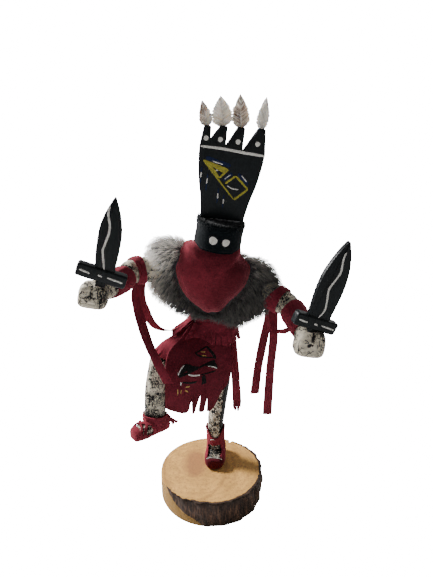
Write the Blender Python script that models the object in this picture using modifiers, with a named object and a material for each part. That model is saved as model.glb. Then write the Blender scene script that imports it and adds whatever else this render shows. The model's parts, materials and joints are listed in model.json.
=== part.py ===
"""A carved wooden dancer in red suede and rabbit fur, standing on a slice of log.

Metres, +Z up, the front faces -Y. Right and left are the doll's own.
The origin is the centre of the log's underside.
"""

import math

import bmesh
import bpy
import numpy as np

# Driving sizes, in metres
GAP = 0.0003                 # air between neighbouring pieces
SUEDE = 0.0011               # thickness of the suede
BASE_DIAMETER = 0.086
BASE_THICKNESS = 0.022
BARK_RIDGE = 0.0011          # depth of the bark's furrows
BASE_CRACK = 0.0045          # length of the drying crack, along the radius
FIGURE_HEIGHT = 0.200        # from the top of the base to just above the neck
FOOT_LENGTH = 0.0275
FOOT_WIDTH = 0.0132
GROOVE_DEPTH = 0.0007        # carved lines between the fingers
HEAD_DIAMETER = 0.0345
HEAD_HEIGHT = 0.0205
HEAD_LEAN = 9.7              # degrees, towards the doll's left
HEAD_NOD = 8.0               # degrees, forwards
HEAD_RIM = 0.0026            # height of the rolled felt rim
CROWN_HEIGHT = 0.0632
CROWN_FOOT_WIDTH = 0.0305
CROWN_TOP_WIDTH = 0.0445
CROWN_THICKNESS = 0.0050
CROWN_YAW = 4.0              # degrees
NOTCH_DEPTH = 0.0132
FEATHER_LENGTH = 0.0165
FEATHER_WIDTH = 0.0095
FEATHER_THICKNESS = 0.0009
BLADE_LENGTH_RIGHT = 0.0470
BLADE_LENGTH_LEFT = 0.0540
BLADE_WIDTH_RIGHT = 0.0148
BLADE_WIDTH_LEFT = 0.0190
BLADE_SHIFT_RIGHT = 0.0016   # from the middle of the guard
BLADE_SHIFT_LEFT = 0.0010
BLADE_THICKNESS = 0.0040
GUARD_LENGTH = 0.0325
GUARD_HEIGHT = 0.0092
GUARD_THICKNESS = 0.0066
GRIP_LENGTH = 0.0120
GRIP_WIDTH = 0.0062
GRIP_THICKNESS = 0.0048
FELT_THICKNESS = 0.0085      # how far the padded collar stands out at its middle
FUR_DEPTH = 0.0175           # half of the fur's depth from front to back
FUR_LOCK = 0.0016            # height of the carved locks
BAND_WIDTH = 0.0125
CUFF_LENGTH_RIGHT = 0.0180
CUFF_LENGTH_LEFT = 0.0225
STREAMER_WIDTH = 0.0068
SASH_WIDTH = 0.0065
SLIT = 0.0007                # width of the cuts between two strands
ANKLE_BAND = 0.0095          # height of the moccasins' ankle bands
FLAP_LEFT = 0.0080           # height of the flaps above the left band
FLAP_RIGHT = 0.0040

# The pose is drawn on a grid of 200 steps to the figure's height, up from the base's top
STEP = FIGURE_HEIGHT / 200

# Limbs: x, y, z and radius in steps
THIGH_RIGHT = ((-6, 9, 100, 10.5), (-22, -7, 107.5, 10.2), (-36, -21.5, 111, 9.2))
SHIN_RIGHT = ((-36.8, -22.2, 110, 8.9), (-40.5, -26, 92, 8.5), (-42, -28.5, 74, 7.9),
              (-42.5, -30, 63, 7.0))
LEG_LEFT = ((3.9, 16, 9.5, 6.2), (3.4, 15.4, 27, 6.2), (3.8, 14.4, 40, 6.9), (6, 13.5, 60, 7.2),
            (7.2, 12, 80, 8.6), (6.5, 10, 100, 10.0))
UPPER_ARM_RIGHT = ((-14, -1, 175, 9.5), (-34, -3, 178, 9.5), (-50, -6, 177, 9.3),
                   (-58, -9.5, 176.3, 8.9))
FOREARM_RIGHT = ((-58.6, -10.5, 176, 8.7), (-63, -25, 174.5, 7.9), (-69, -38, 172.5, 6.8))
UPPER_ARM_LEFT = ((16, 0, 173, 9.5), (34, -2, 166, 9.5), (48, -5.5, 155.5, 9.3),
                  (56.5, -9, 151.5, 8.9))
FOREARM_LEFT = ((57, -10, 151, 8.7), (61.5, -25, 147, 7.9), (64.5, -38, 142, 6.8))

# Torso sections from the crotch to the neck: x, y, z, half width and half depth in steps
TORSO = ((-1, 9, 88, 11, 9.5), (0, 10, 100, 18, 13), (0, 9.5, 113, 18.5, 13),
         (0.5, 8, 128, 15.5, 12), (1, 7, 138, 13.6, 10.8), (1.5, 4.5, 153, 18.5, 13),
         (2, 1.5, 168, 24, 14.8), (2.5, -0.5, 177, 24.5, 13.8), (3.4, -2.2, 186, 16.5, 11.8),
         (4.1, -3.1, 191, 10.6, 9.8), (4.6, -4, 198, 9.4, 9.4))
NECK_SEAT = (4.5, -3.8, 194.5)    # where the middle of the head's underside sits

# Fists: centre and half sizes in steps, and the roll in degrees
FIST_RIGHT = ((-76, -49.5, 171.6), (9.4, 8.6, 8.2), -9)
FIST_LEFT = ((66.8, -49.5, 138.3), (10.2, 9.0, 9.2), -8)

# Swords: centre of the guard in steps, lean and turn in degrees, tilt of the guard
SWORD_RIGHT = ((-69, -52.5, 186.2), 13, 6, 9)
SWORD_LEFT = ((68.9, -52.5, 153.5), 16, 14, 8)

# Feet: point on the sole under the ankle, and the way the toes point
FOOT_LEFT = ((3.8, 16, 0), (-0.09, -1.0, 0.0))
FOOT_RIGHT = ((-42.8, -31, 56), (-0.76, -0.65, 0.03))

SIDES = 10
TORSO_SIDES = 16


def steps(x, y, z):
    """A point of the pose grid in metres."""
    return np.array([x * STEP, y * STEP, BASE_THICKNESS + z * STEP])


def unit(vector):
    vector = np.asarray(vector, float)
    return vector / np.linalg.norm(vector)


def catmull(a, b, c, d, f):
    """Catmull-Rom blend of four control points at the share f between b and c."""
    return 0.5 * (2 * b + (c - a) * f + (2 * a - 5 * b + 4 * c - d) * f ** 2
                  + (3 * b - a - 3 * c + d) * f ** 3)


def spline(points, shares):
    """Smooth curve through the points; shares run from 0 at the first to 1 at the last.

    With one row of points for every share, each share reads its own control points.
    """
    points = np.asarray(points, float)
    shares = np.asarray(shares, float)
    last = len(points) - 1
    ends = np.concatenate([[2 * points[0] - points[1]], points, [2 * points[-1] - points[-2]]])
    place = np.clip(shares, 0, 1) * last
    index = np.minimum(place.astype(int), last - 1)
    fraction = (place - index)[..., None]
    if points.ndim == 2:
        a, b, c, d = (ends[index + k] for k in range(4))
    else:
        column = np.arange(len(shares))
        a, b, c, d = (ends[index + k, column] for k in range(4))
    return catmull(a, b, c, d, fraction)


def closed_spline(points, count):
    """Smooth closed outline through the points, read at count even shares."""
    points = np.asarray(points, float)
    place = np.arange(count) / count * len(points)
    index = place.astype(int)
    fraction = (place - index)[:, None]
    a, b, c, d = (points[(index + k) % len(points)] for k in (-1, 0, 1, 2))
    return catmull(a, b, c, d, fraction)


# Collections, materials and mesh helpers

def clear_scene():
    for item in list(bpy.data.objects):
        bpy.data.objects.remove(item, do_unlink=True)


def collection(name):
    group = bpy.data.collections.new(name)
    bpy.context.scene.collection.children.link(group)
    return group


def material(name, colour, roughness, metallic=0.0):
    finish = bpy.data.materials.new(name)
    finish.use_nodes = True
    shader = finish.node_tree.nodes["Principled BSDF"]
    shader.inputs["Base Color"].default_value = (*colour, 1.0)
    shader.inputs["Roughness"].default_value = roughness
    shader.inputs["Metallic"].default_value = metallic
    finish.diffuse_color = (*colour, 1.0)
    return finish


def finish_mesh(work, name):
    """Weld, point the faces outwards and put the work mesh into a new object."""
    bmesh.ops.remove_doubles(work, verts=work.verts, dist=1e-6)
    bmesh.ops.recalc_face_normals(work, faces=work.faces)
    mesh = bpy.data.meshes.new(name)
    work.to_mesh(mesh)
    work.free()
    piece = bpy.data.objects.new(name, mesh)
    PARTS.objects.link(piece)
    return piece


def loft(name, rings, along_closed=False):
    """Skin over a row of closed rings, with fans over the two ends unless it closes on itself."""
    rings = np.asarray(rings)
    rows, sides = rings.shape[:2]
    work = bmesh.new()
    corners = [[work.verts.new(point) for point in ring] for ring in rings]
    for row in range(rows if along_closed else rows - 1):
        lower = corners[row]
        upper = corners[(row + 1) % rows]
        for side in range(sides):
            after = (side + 1) % sides
            work.faces.new((lower[side], lower[after], upper[after], upper[side]))
    if not along_closed:
        for ring, points in ((corners[0], rings[0]), (corners[-1], rings[-1])):
            centre = work.verts.new(points.mean(axis=0))
            for side in range(sides):
                work.faces.new((ring[side], ring[(side + 1) % sides], centre))
    return finish_mesh(work, name)


def baked(piece):
    """Replace the object's mesh by its evaluated one and drop the modifiers."""
    graph = bpy.context.evaluated_depsgraph_get()
    mesh = bpy.data.meshes.new_from_object(piece.evaluated_get(graph))
    piece.modifiers.clear()
    piece.data = mesh
    return piece


def combine(target, other, operation, keep=False):
    """Boolean of two closed meshes, baked into the target."""
    modifier = target.modifiers.new(operation.lower(), "BOOLEAN")
    modifier.operation = operation
    modifier.solver = "EXACT"
    modifier.object = other
    baked(target)
    if not keep:
        bpy.data.objects.remove(other, do_unlink=True)
    return target


def main_body(piece):
    """Drop the crumbs that a trim leaves and keep the piece itself."""
    work = bmesh.new()
    work.from_mesh(piece.data)
    seen = set()
    bodies = []
    for start in work.verts:
        if start in seen:
            continue
        seen.add(start)
        body = [start]
        for vert in body:
            for edge in vert.link_edges:
                other = edge.other_vert(vert)
                if other not in seen:
                    seen.add(other)
                    body.append(other)
        bodies.append(body)
    bodies.sort(key=len)
    for body in bodies[:-1]:
        bmesh.ops.delete(work, geom=body, context="VERTS")
    work.to_mesh(piece.data)
    work.free()
    return piece


def dressed(piece, finish):
    """Weld a finished piece, give it its material and smooth it except at sharp creases."""
    work = bmesh.new()
    work.from_mesh(piece.data)
    bmesh.ops.remove_doubles(work, verts=work.verts, dist=1e-6)
    bmesh.ops.dissolve_degenerate(work, edges=work.edges, dist=1e-6)
    bmesh.ops.recalc_face_normals(work, faces=work.faces)
    work.to_mesh(piece.data)
    work.free()
    piece.data.materials.clear()
    piece.data.materials.append(finish)
    piece.data.shade_smooth()
    piece.data.set_sharp_from_angle(angle=math.radians(35))
    return piece


def plate(name, outline, thickness, bevel):
    """Flat board with a filled outline in X and Y, its thickness along Z, as a mesh."""
    curve = bpy.data.curves.new(name, "CURVE")
    curve.dimensions = "2D"
    curve.fill_mode = "BOTH"
    curve.extrude = thickness / 2 - bevel
    curve.bevel_depth = bevel
    curve.bevel_resolution = 0
    curve.offset = -bevel
    line = curve.splines.new("POLY")
    line.points.add(len(outline) - 1)
    for point, (x, y) in zip(line.points, outline):
        point.co = (x, y, 0, 1)
    line.use_cyclic_u = True
    guide = bpy.data.objects.new(name, curve)
    PARTS.objects.link(guide)
    graph = bpy.context.evaluated_depsgraph_get()
    graph.update()
    mesh = bpy.data.meshes.new_from_object(guide.evaluated_get(graph))
    bpy.data.objects.remove(guide, do_unlink=True)
    work = bmesh.new()
    work.from_mesh(mesh)
    return finish_mesh(work, name)


def moved(piece, origin, across, along, outward):
    """Carry a piece's X, Y and Z onto three axes at a new origin."""
    mesh = piece.data
    points = np.empty(len(mesh.vertices) * 3)
    mesh.vertices.foreach_get("co", points)
    points = points.reshape(-1, 3) @ np.array([across, along, outward]) + origin
    mesh.vertices.foreach_set("co", points.ravel())
    mesh.update()
    return piece


# Limbs

def limb_surface(limb, shares, angles, grow, reference):
    """Points round a tapered limb: share along it, angle round it, distance above its skin."""
    rows = np.array([[*steps(x, y, z), r * STEP] for x, y, z, r in limb])
    nudge = 0.01
    held = np.clip(shares, nudge, 1 - nudge)
    tangent = (spline(rows, held + nudge) - spline(rows, held - nudge))[:, :3]
    speed = np.linalg.norm(tangent, axis=1, keepdims=True)
    tangent /= speed
    here = spline(rows, shares)
    beyond = shares - np.clip(shares, 0, 1)
    here[:, :3] += tangent * speed / (2 * nudge) * beyond[:, None]
    side = reference - tangent * (tangent @ reference)[:, None]
    side /= np.linalg.norm(side, axis=1, keepdims=True)
    front = np.cross(tangent, side)
    radius = (here[:, 3] + grow)[:, None]
    return here[:, :3] + radius * (np.cos(angles)[:, None] * side + np.sin(angles)[:, None] * front)


def limb_ring(limb, share, grow, reference):
    angles = np.arange(SIDES) * 2 * math.pi / SIDES
    return limb_surface(limb, np.full(SIDES, float(share)), angles, grow, reference)


def limb(name, rows, reference, grow=0.0, rings=6):
    """Tapered limb with a rounded end at both ends."""
    reference = unit(reference)
    body = [limb_ring(rows, share, grow, reference) for share in np.linspace(0, 1, rings)]
    skins = []
    for end, neighbour in ((body[0], body[1]), (body[-1], body[-2])):
        centre = end.mean(axis=0)
        radius = np.linalg.norm(end[0] - centre)
        outward = unit(centre - neighbour.mean(axis=0))
        skins.append([centre + (end - centre) * math.cos(turn) + outward * radius * math.sin(turn)
                      for turn in (math.radians(48),)])
    return loft(name, skins[0][::-1] + body + skins[1])


ARM_UP = (0, 0, 1)
THIGH_UP = (0.72, -0.69, 0)
LEG_UP = (1, 0, 0)


def foot(name, base, forward, grow=0.0):
    """Carved foot: rings across it from heel to toe, flat below and rounded above.

    Each ring is a superellipse of the foot's half width and height at that share.
    """
    forward = unit(forward)
    across = unit(np.cross(forward, (0, 0, 1)))
    upward = np.cross(across, forward)
    sole = steps(*base) + upward * (2 * GAP + SUEDE)
    # Share of the length from heel to toe, half width and height as shares of the foot's width
    profile = ((0.0, 0.28, 0.62), (0.07, 0.41, 0.80), (0.25, 0.47, 0.95), (0.45, 0.47, 0.88),
               (0.68, 0.50, 0.68), (0.88, 0.44, 0.54), (0.97, 0.33, 0.46), (1.0, 0.22, 0.38))
    angles = np.arange(SIDES) * 2 * math.pi / SIDES
    rings = []
    for place, width, height in profile:
        half = width * FOOT_WIDTH + grow
        tall = height * FOOT_WIDTH / 2 + grow
        reach = (place - 0.36) * FOOT_LENGTH + grow * (2 * place - 1)
        centre = sole + forward * reach + upward * (height * FOOT_WIDTH / 2)
        round_x = np.sign(np.cos(angles)) * np.abs(np.cos(angles)) ** 0.75
        round_z = np.sign(np.sin(angles)) * np.abs(np.sin(angles)) ** 0.75
        rings.append(centre + half * round_x[:, None] * across + tall * round_z[:, None] * upward)
    return loft(name, rings)


def fist(name, shape, grow=0.0):
    """Closed fist: a rounded block whose front carries four finger rolls and a thumb line."""
    centre, half, roll = shape
    rows, columns = 12, 14
    angle = math.radians(roll)
    across = np.array([math.cos(angle), 0, math.sin(angle)])
    upward = np.array([-math.sin(angle), 0, math.cos(angle)])
    depth = np.array([0, 1.0, 0])
    rings = []
    for row in range(1, rows):
        tilt = math.pi * row / rows - math.pi / 2
        turns = np.arange(columns) * 2 * math.pi / columns
        flat = math.cos(tilt) ** 0.55
        x = flat * np.sign(np.cos(turns)) * np.abs(np.cos(turns)) ** 0.7
        y = flat * np.sign(np.sin(turns)) * np.abs(np.sin(turns)) ** 0.7
        z = np.sign(math.sin(tilt)) * abs(math.sin(tilt)) ** 0.75
        front = np.clip(-y, 0, 1)
        finger = abs(math.sin(2 * math.pi * (z + 1))) ** 0.5
        thumb = 1 - np.exp(-((x - 0.42) / 0.07) ** 2)
        sink = GROOVE_DEPTH * front * (1 - np.minimum(finger, thumb))
        reach = np.array(half) * STEP + grow
        rings.append(steps(*centre) + (x * (reach[0] - sink))[:, None] * across
                     + (y * (reach[1] - sink))[:, None] * depth + z * reach[2] * upward)
    return loft(name, rings)


def torso(name, grow=0.0):
    """Loft through the body's elliptical sections, from the crotch to the neck."""
    angles = np.arange(TORSO_SIDES) * 2 * math.pi / TORSO_SIDES
    rings = []
    for x, y, z, half_width, half_depth in spline(TORSO, np.linspace(0, 1, 11)):
        centre = steps(x, y, z)
        wide = (half_width * STEP + grow) * np.cos(angles)
        deep = (half_depth * STEP + grow) * np.sin(angles)
        rings.append(centre + np.stack([wide, deep, 0 * wide], axis=1))
    rings[0][:, 2] -= grow
    rings[-1][:, 2] += grow
    return loft(name, rings)


LIMBS = (("thigh_right", THIGH_RIGHT, THIGH_UP), ("shin_right", SHIN_RIGHT, THIGH_UP),
         ("leg_left", LEG_LEFT, LEG_UP), ("upper_arm_right", UPPER_ARM_RIGHT, ARM_UP),
         ("forearm_right", FOREARM_RIGHT, ARM_UP), ("upper_arm_left", UPPER_ARM_LEFT, ARM_UP),
         ("forearm_left", FOREARM_LEFT, ARM_UP))


def figure_solid(name, grow=0.0):
    """The whole carved body; grow swells it to make the cutter that trims what it wears."""
    body = torso(name, grow)
    for limb_name, rows, reference in LIMBS:
        combine(body, limb(limb_name + "_work", rows, reference, grow), "UNION")
    for place, forward in (FOOT_LEFT, FOOT_RIGHT):
        combine(body, foot("foot_work", place, forward, grow), "UNION")
    for shape in (FIST_RIGHT, FIST_LEFT):
        combine(body, fist("fist_work", shape, grow), "UNION")
    return body


# Base, head, crown and feathers

def bark_share(angle):
    """1 on the barked stretch, from the front left round the right to the back, else 0."""
    from_front = (angle + math.pi / 2 + math.pi) % (2 * math.pi) - math.pi
    return 1 / (1 + np.exp(-(from_front + 0.42) * 14)) / (1 + np.exp((from_front - 2.75) * 14))


def wood_base():
    """Log slice: wavy outline, furrowed bark on one stretch and a narrow drying crack."""
    count = 56
    angles = np.arange(count) * 2 * math.pi / count
    radius = BASE_DIAMETER / 2 * (0.993 + 0.006 * np.cos(angles - 0.6) + 0.006 * np.sin(3 * angles))
    bark = bark_share(angles)
    crack = np.exp(-((angles - math.radians(66)) / 0.035) ** 2)
    edge = BARK_RIDGE
    # Height, and how far the wall steps in there
    levels = ((0, edge), (edge, 0), (0.37 * BASE_THICKNESS, 0), (0.68 * BASE_THICKNESS, 0),
              (BASE_THICKNESS - edge, 0), (BASE_THICKNESS, edge * 0.7))
    rings = []
    for row, (height, inset) in enumerate(levels):
        furrow = np.cos(19 * angles + 1.1 * row) * np.cos(7 * angles - 0.5 * row)
        reach = radius - inset + bark * BARK_RIDGE * furrow - crack * BASE_CRACK
        rings.append(np.stack([reach * np.cos(angles), reach * np.sin(angles),
                               np.full(count, height)], axis=1))
    return loft("wood_base", rings)


def head_axes():
    """Across, up and outward axes of the leaning, nodding head."""
    lean = math.radians(HEAD_LEAN)
    nod = math.radians(HEAD_NOD)
    upward = unit((math.tan(lean), -math.tan(nod), 1))
    yaw = math.radians(CROWN_YAW)
    across = np.array([math.cos(yaw), math.sin(yaw), 0])
    across = unit(across - upward * (across @ upward))
    return across, upward, np.cross(across, upward)


def head(grow=0.0):
    """Turned drum with a rolled rim, leaning on the neck."""
    radius = HEAD_DIAMETER / 2 + grow
    low = -grow
    high = HEAD_HEIGHT + grow
    rim = HEAD_RIM
    profile = ((0, high - rim * 0.35), (radius * 0.80, high - rim * 0.35),
               (radius * 0.93, high), (radius * 1.0, high - rim * 0.15),
               (radius * 1.03, high - rim * 0.6), (radius * 0.98, high - rim * 1.15),
               (radius * 0.985, high * 0.5), (radius, high * 0.2), (radius * 0.97, low + rim * 0.3),
               (radius * 0.88, low), (0, low))
    work = bmesh.new()
    corners = [work.verts.new((x, 0, z)) for x, z in profile]
    for before, after in zip(corners, corners[1:]):
        work.edges.new((before, after))
    mesh = bpy.data.meshes.new("head")
    work.to_mesh(mesh)
    work.free()
    piece = bpy.data.objects.new("head", mesh)
    PARTS.objects.link(piece)
    screw = piece.modifiers.new("turn", "SCREW")
    screw.steps = 22
    screw.render_steps = 22
    screw.use_merge_vertices = True
    screw.merge_threshold = 0.00001
    screw.use_normal_calculate = True
    baked(piece)
    across, upward, outward = head_axes()
    moved(piece, steps(*NECK_SEAT), across, -outward, upward)
    return piece


def crown_origin():
    upward = head_axes()[1]
    return steps(*NECK_SEAT) + upward * (HEAD_HEIGHT + GAP)


PRONG_CENTRES = (-0.83, -0.35, 0.17, 0.78)   # across the half width
PRONG_HALF_WIDTH = 0.105                     # share of the half width
PRONG_TOPS = (0.970, 0.990, 1.0, 1.015)      # shares of the crown's height


def crown():
    """Flat flared board with four prongs between three cut notches."""
    foot_half = CROWN_FOOT_WIDTH / 2
    top_half = CROWN_TOP_WIDTH / 2
    shoulder = CROWN_HEIGHT * 0.76
    side = [(foot_half, 0), (foot_half * 1.12, shoulder * 0.27), (top_half * 0.90, shoulder * 0.55),
            (top_half * 0.98, shoulder * 0.82), (top_half, shoulder)]
    outline = list(side)
    prong = PRONG_HALF_WIDTH * top_half
    tops = [centre * top_half for centre in PRONG_CENTRES]
    depths = (1.15, 1.0, 0.75)
    for index in (3, 2, 1, 0):
        outline.append((tops[index] + prong, CROWN_HEIGHT * PRONG_TOPS[index]))
        outline.append((tops[index] - prong, CROWN_HEIGHT * PRONG_TOPS[index]))
        if index:
            notch = tops[index - 1] + 1.2 * prong
            outline.append((notch, CROWN_HEIGHT - NOTCH_DEPTH * depths[3 - index]))
    outline += [(-x, y) for x, y in reversed(side)]
    across, upward, outward = head_axes()
    board = plate("crown", outline, CROWN_THICKNESS, 0.0003)
    return moved(board, crown_origin(), across, upward, outward)


def feather(index):
    """Small leaf-shaped feather that stands on a prong on its quill."""
    lengths = (0.84, 1.0, 1.08, 1.10)
    widths = (0.68, 1.28, 1.07, 0.78)
    leans = (-14, -8, -1, 6)
    length = FEATHER_LENGTH * lengths[index]
    half = FEATHER_WIDTH / 2 * widths[index]
    quill = 0.0006
    # Share of the length and of the half width
    vane = ((0.12, 0.55), (0.25, 0.92), (0.42, 1.0), (0.6, 0.82), (0.78, 0.55), (0.92, 0.28))
    right = [(quill, 0), (quill, length * 0.08)] + [(half * w, length * h) for h, w in vane]
    outline = right + [(0, length)] + [(-x, y) for x, y in reversed(right)]
    across, upward, outward = head_axes()
    lean = math.radians(leans[index])
    along = upward * math.cos(lean) + across * math.sin(lean)
    aside = across * math.cos(lean) - upward * math.sin(lean)
    foot_point = crown_origin() + across * PRONG_CENTRES[index] * CROWN_TOP_WIDTH / 2
    foot_point = foot_point + upward * (CROWN_HEIGHT * PRONG_TOPS[index] + GAP)
    leaf = plate("feather_%d" % (index + 1), outline, FEATHER_THICKNESS, 0)
    return moved(leaf, foot_point, aside, along, outward)


# Swords

def sword_axes(shape):
    """Guard centre and the sword's across, along and outward axes."""
    centre, lean, turn, _ = shape
    lean = math.radians(lean)
    turn = math.radians(turn)
    along = unit((math.sin(lean), -0.10, math.cos(lean)))
    across = np.array([math.cos(turn), math.sin(turn), 0])
    across = unit(across - along * (across @ along))
    return steps(*centre), across, along, np.cross(across, along)


def grip(name, grow=0.0):
    """Short grip below the guard, centred on the sword's axis."""
    half = GRIP_WIDTH / 2 + grow
    bottom = -GUARD_HEIGHT / 2 - GRIP_LENGTH - grow
    outline = ((-half, bottom), (half, bottom), (half, 0), (-half, 0))
    return plate(name, outline, GRIP_THICKNESS + 2 * grow, 0.0003)


def sword(name, shape, blade_length, blade_width, blade_shift):
    """Leaf blade, rounded guard and grip, carved as one."""
    # Share of the blade's length and of its half width
    leaf = ((0.0, 0.86), (0.12, 0.93), (0.3, 1.0), (0.48, 0.99), (0.62, 0.88), (0.76, 0.66),
            (0.88, 0.38))
    right = [(w * blade_width / 2, h * blade_length) for h, w in leaf]
    outline = [(right[0][0], -GUARD_HEIGHT)] + right + [(0, blade_length)]
    outline += [(-x, y) for x, y in reversed(right)] + [(-right[0][0], -GUARD_HEIGHT)]
    outline = [(x + blade_shift, y + GUARD_HEIGHT / 2) for x, y in outline]
    blade = plate(name, outline, BLADE_THICKNESS, 0.0005)
    half_length = GUARD_LENGTH / 2
    half_height = GUARD_HEIGHT / 2
    corner = half_height * 0.45
    tilt = math.radians(shape[3])
    bar = [(half_length, -half_height + corner), (half_length, half_height - corner),
           (half_length - corner, half_height), (-half_length + corner, half_height),
           (-half_length, half_height - corner), (-half_length, -half_height + corner),
           (-half_length + corner, -half_height), (half_length - corner, -half_height)]
    guard = plate(name + "_guard", bar, GUARD_THICKNESS, 0.0006)
    slanted = (math.cos(tilt), -math.sin(tilt), 0)
    moved(guard, np.zeros(3), slanted, (math.sin(tilt), math.cos(tilt), 0), (0, 0, 1))
    combine(blade, guard, "UNION")
    combine(blade, grip(name + "_grip"), "UNION")
    return moved(blade, *sword_axes(shape))


# Collar and fur

# Outlines seen from the front: x and z in steps
BIB_OUTLINE = ((-16, 199), (3, 196), (20, 194), (22.5, 187), (28.5, 178), (25.5, 167.5),
               (15.5, 153), (4, 144.5), (-4, 145.5), (-13, 150.5), (-21.5, 161.5), (-26.5, 174),
               (-27, 184), (-22, 192))
FUR_OUTLINE = ((-18, 195), (-27, 199.5), (-37, 199.5), (-45, 196.5), (-49.5, 182), (-47, 165),
               (-43, 158), (-34, 150), (-25, 144), (-14, 140), (2, 137), (16, 133.5), (24, 132.5),
               (32, 137), (43, 144), (48, 148), (53.5, 160), (49, 174), (41, 181.5), (31, 184),
               (18, 190), (0, 194))


def cushion(name, outline, middle, front, back, fullness, ripple, count, rows, grow=0.0):
    """Closed pad with a given outline seen from the front.

    A point is the middle plus cos(t)^fullness of the way to the outline and sin(t) of the depth
    towards the front or the back, with the ripple added to the depth.
    """
    rim = closed_spline(outline, count)
    rim = np.array([steps(x, middle[1], z) for x, z in rim])
    centre = steps(*middle)
    reach = np.linalg.norm(rim - centre, axis=1, keepdims=True)
    rim = centre + (rim - centre) * (1 + grow / reach)
    rings = []
    for row in range(rows):
        tilt = -math.pi / 2 + math.pi * (row + 0.5) / rows
        spread = math.cos(tilt) ** fullness
        depth = (front if tilt < 0 else back) * math.sin(tilt)
        share = np.arange(count) / count
        wave = ripple(share, row / rows) * math.cos(tilt)
        ring = centre + (rim - centre) * (spread * (1 + wave))[:, None]
        ring[:, 1] += depth * (1 + wave)
        rings.append(ring)
    return loft(name, rings)


def smooth_ripple(share, depth):
    return 0 * share


def lock_ripple(share, depth):
    """Pointed locks: two crossing rows of waves, sharp at their crests."""
    along = np.abs(np.sin(math.pi * (23 * share + 3.1 * depth)))
    crossing = np.abs(np.sin(math.pi * (17 * share - 5.3 * depth)))
    return (0.6 - along * 0.9 - crossing * 0.5) * FUR_LOCK / 0.025


def bib_pad(name, grow=0.0):
    """The collar before it is hollowed."""
    return cushion(name, BIB_OUTLINE, (1, -5, 173), FELT_THICKNESS * 2.1 + grow,
                   FELT_THICKNESS * 1.7 + grow, 0.62, smooth_ripple, 24, 7, grow)


def bib(cutter):
    """Padded felt collar round the neck, hollowed to the body and clear of the head."""
    pad = bib_pad("bib")
    combine(pad, cutter, "DIFFERENCE", keep=True)
    combine(pad, head(GAP), "DIFFERENCE")
    return main_body(pad)


def waist_plug(name):
    """Solid core as wide as the waist layers and a gap higher, to cut the fur above them."""
    turns = np.arange(SIDES * 2) * 180 / SIDES
    heights = (WAIST_TOP - 20, WAIST_TOP + 3 * GAP / STEP)
    return loft(name, [[steps(*waist_point(turn, height, 3.2)) for turn in turns]
                       for height in heights])


def fur_wrap(cutter):
    """Fur over the shoulders, with locks, bedded to the collar, the bands and the body."""
    pelt = cushion("fur_wrap", FUR_OUTLINE, (1, -1, 168), FUR_DEPTH, FUR_DEPTH * 1.1, 0.5,
                   lock_ripple, 36, 10)
    combine(pelt, bib_pad("bib_clearance", 1.5 * GAP), "DIFFERENCE")
    for name, rows, middle, length, slant in BANDS[:2]:
        plug = sleeve(name + "_clearance", rows, middle, length, slant, plug=True)
        combine(pelt, plug, "DIFFERENCE")
    combine(pelt, waist_plug("waist_clearance"), "DIFFERENCE")
    combine(pelt, cutter, "DIFFERENCE", keep=True)
    return main_body(pelt)


# Suede

def drape(guides, across, down):
    """Points of a cloth: smooth down each guide line and smooth from guide to guide."""
    lines = np.array([spline(np.array([steps(*point) for point in guide]), down)
                      for guide in guides])
    return spline(lines, across)


def cloth(name, guides, strands, slit, rows, tip_rows, columns, folds=0.0, waves=2.5):
    """Suede panel hung on guide lines, whose lower end is cut into strands.

    Each strand has its left and right edge across the panel and its two tip heights. The panel is
    whole down to the slit, and only the strands go on below it. The folds are a sine across the
    panel that grows from the top down.
    """
    cells = []
    for number, (left, right, left_tip, right_tip) in enumerate(strands):
        edges = list(np.linspace(left, right, columns + 1))
        if number + 1 < len(strands):
            edges.append(strands[number + 1][0])
        heights = np.linspace(0, slit, rows + 1)
        for top, bottom in zip(heights, heights[1:]):
            for west, east in zip(edges, edges[1:]):
                cells.append(((west, top), (east, top), (east, bottom), (west, bottom)))
        for west, east in zip(edges[:columns], edges[1:columns + 1]):
            ends = [left_tip + (right_tip - left_tip) * (edge - left) / (right - left)
                    for edge in (west, east)]
            for row in range(tip_rows):
                above = [slit + (end - slit) * row / tip_rows for end in ends]
                below = [slit + (end - slit) * (row + 1) / tip_rows for end in ends]
                cells.append(((west, above[0]), (east, above[1]), (east, below[1]),
                              (west, below[0])))
    keys = {}
    for cell in cells:
        for corner in cell:
            keys.setdefault((round(corner[0], 6), round(corner[1], 6)), len(keys))
    across, down = np.array(list(keys)).T
    points = drape(guides, across, down)
    if folds:
        nudge = 0.01
        inner = np.clip(across, nudge, 1 - nudge)
        lower = np.clip(down, nudge, 1 - nudge)
        side = drape(guides, inner + nudge, down) - drape(guides, inner - nudge, down)
        fall = drape(guides, across, lower + nudge) - drape(guides, across, lower - nudge)
        normal = np.cross(side, fall)
        normal /= np.linalg.norm(normal, axis=1, keepdims=True)
        wave = np.sin(2 * math.pi * waves * across + 1.5 * down)
        points = points + normal * (folds * np.clip(down, 0, 1) * wave)[:, None]
    work = bmesh.new()
    corners = [work.verts.new(point) for point in points]
    for cell in cells:
        work.faces.new([corners[keys[(round(x, 6), round(y, 6))]] for x, y in cell])
    bmesh.ops.recalc_face_normals(work, faces=work.faces)
    mesh = bpy.data.meshes.new(name)
    work.to_mesh(mesh)
    work.free()
    piece = bpy.data.objects.new(name, mesh)
    PARTS.objects.link(piece)
    wall = piece.modifiers.new("suede", "SOLIDIFY")
    wall.thickness = SUEDE
    wall.offset = 0
    wall.use_even_offset = True
    return baked(piece)


def strands_between(count, slit_share, tips):
    """Even strands across a panel, with their tips taken in turn from the list."""
    width = (1 - slit_share * (count - 1)) / count
    rows = []
    for index in range(count):
        left = index * (width + slit_share)
        rows.append((left, left + width, *tips[index % len(tips)]))
    return rows


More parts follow.
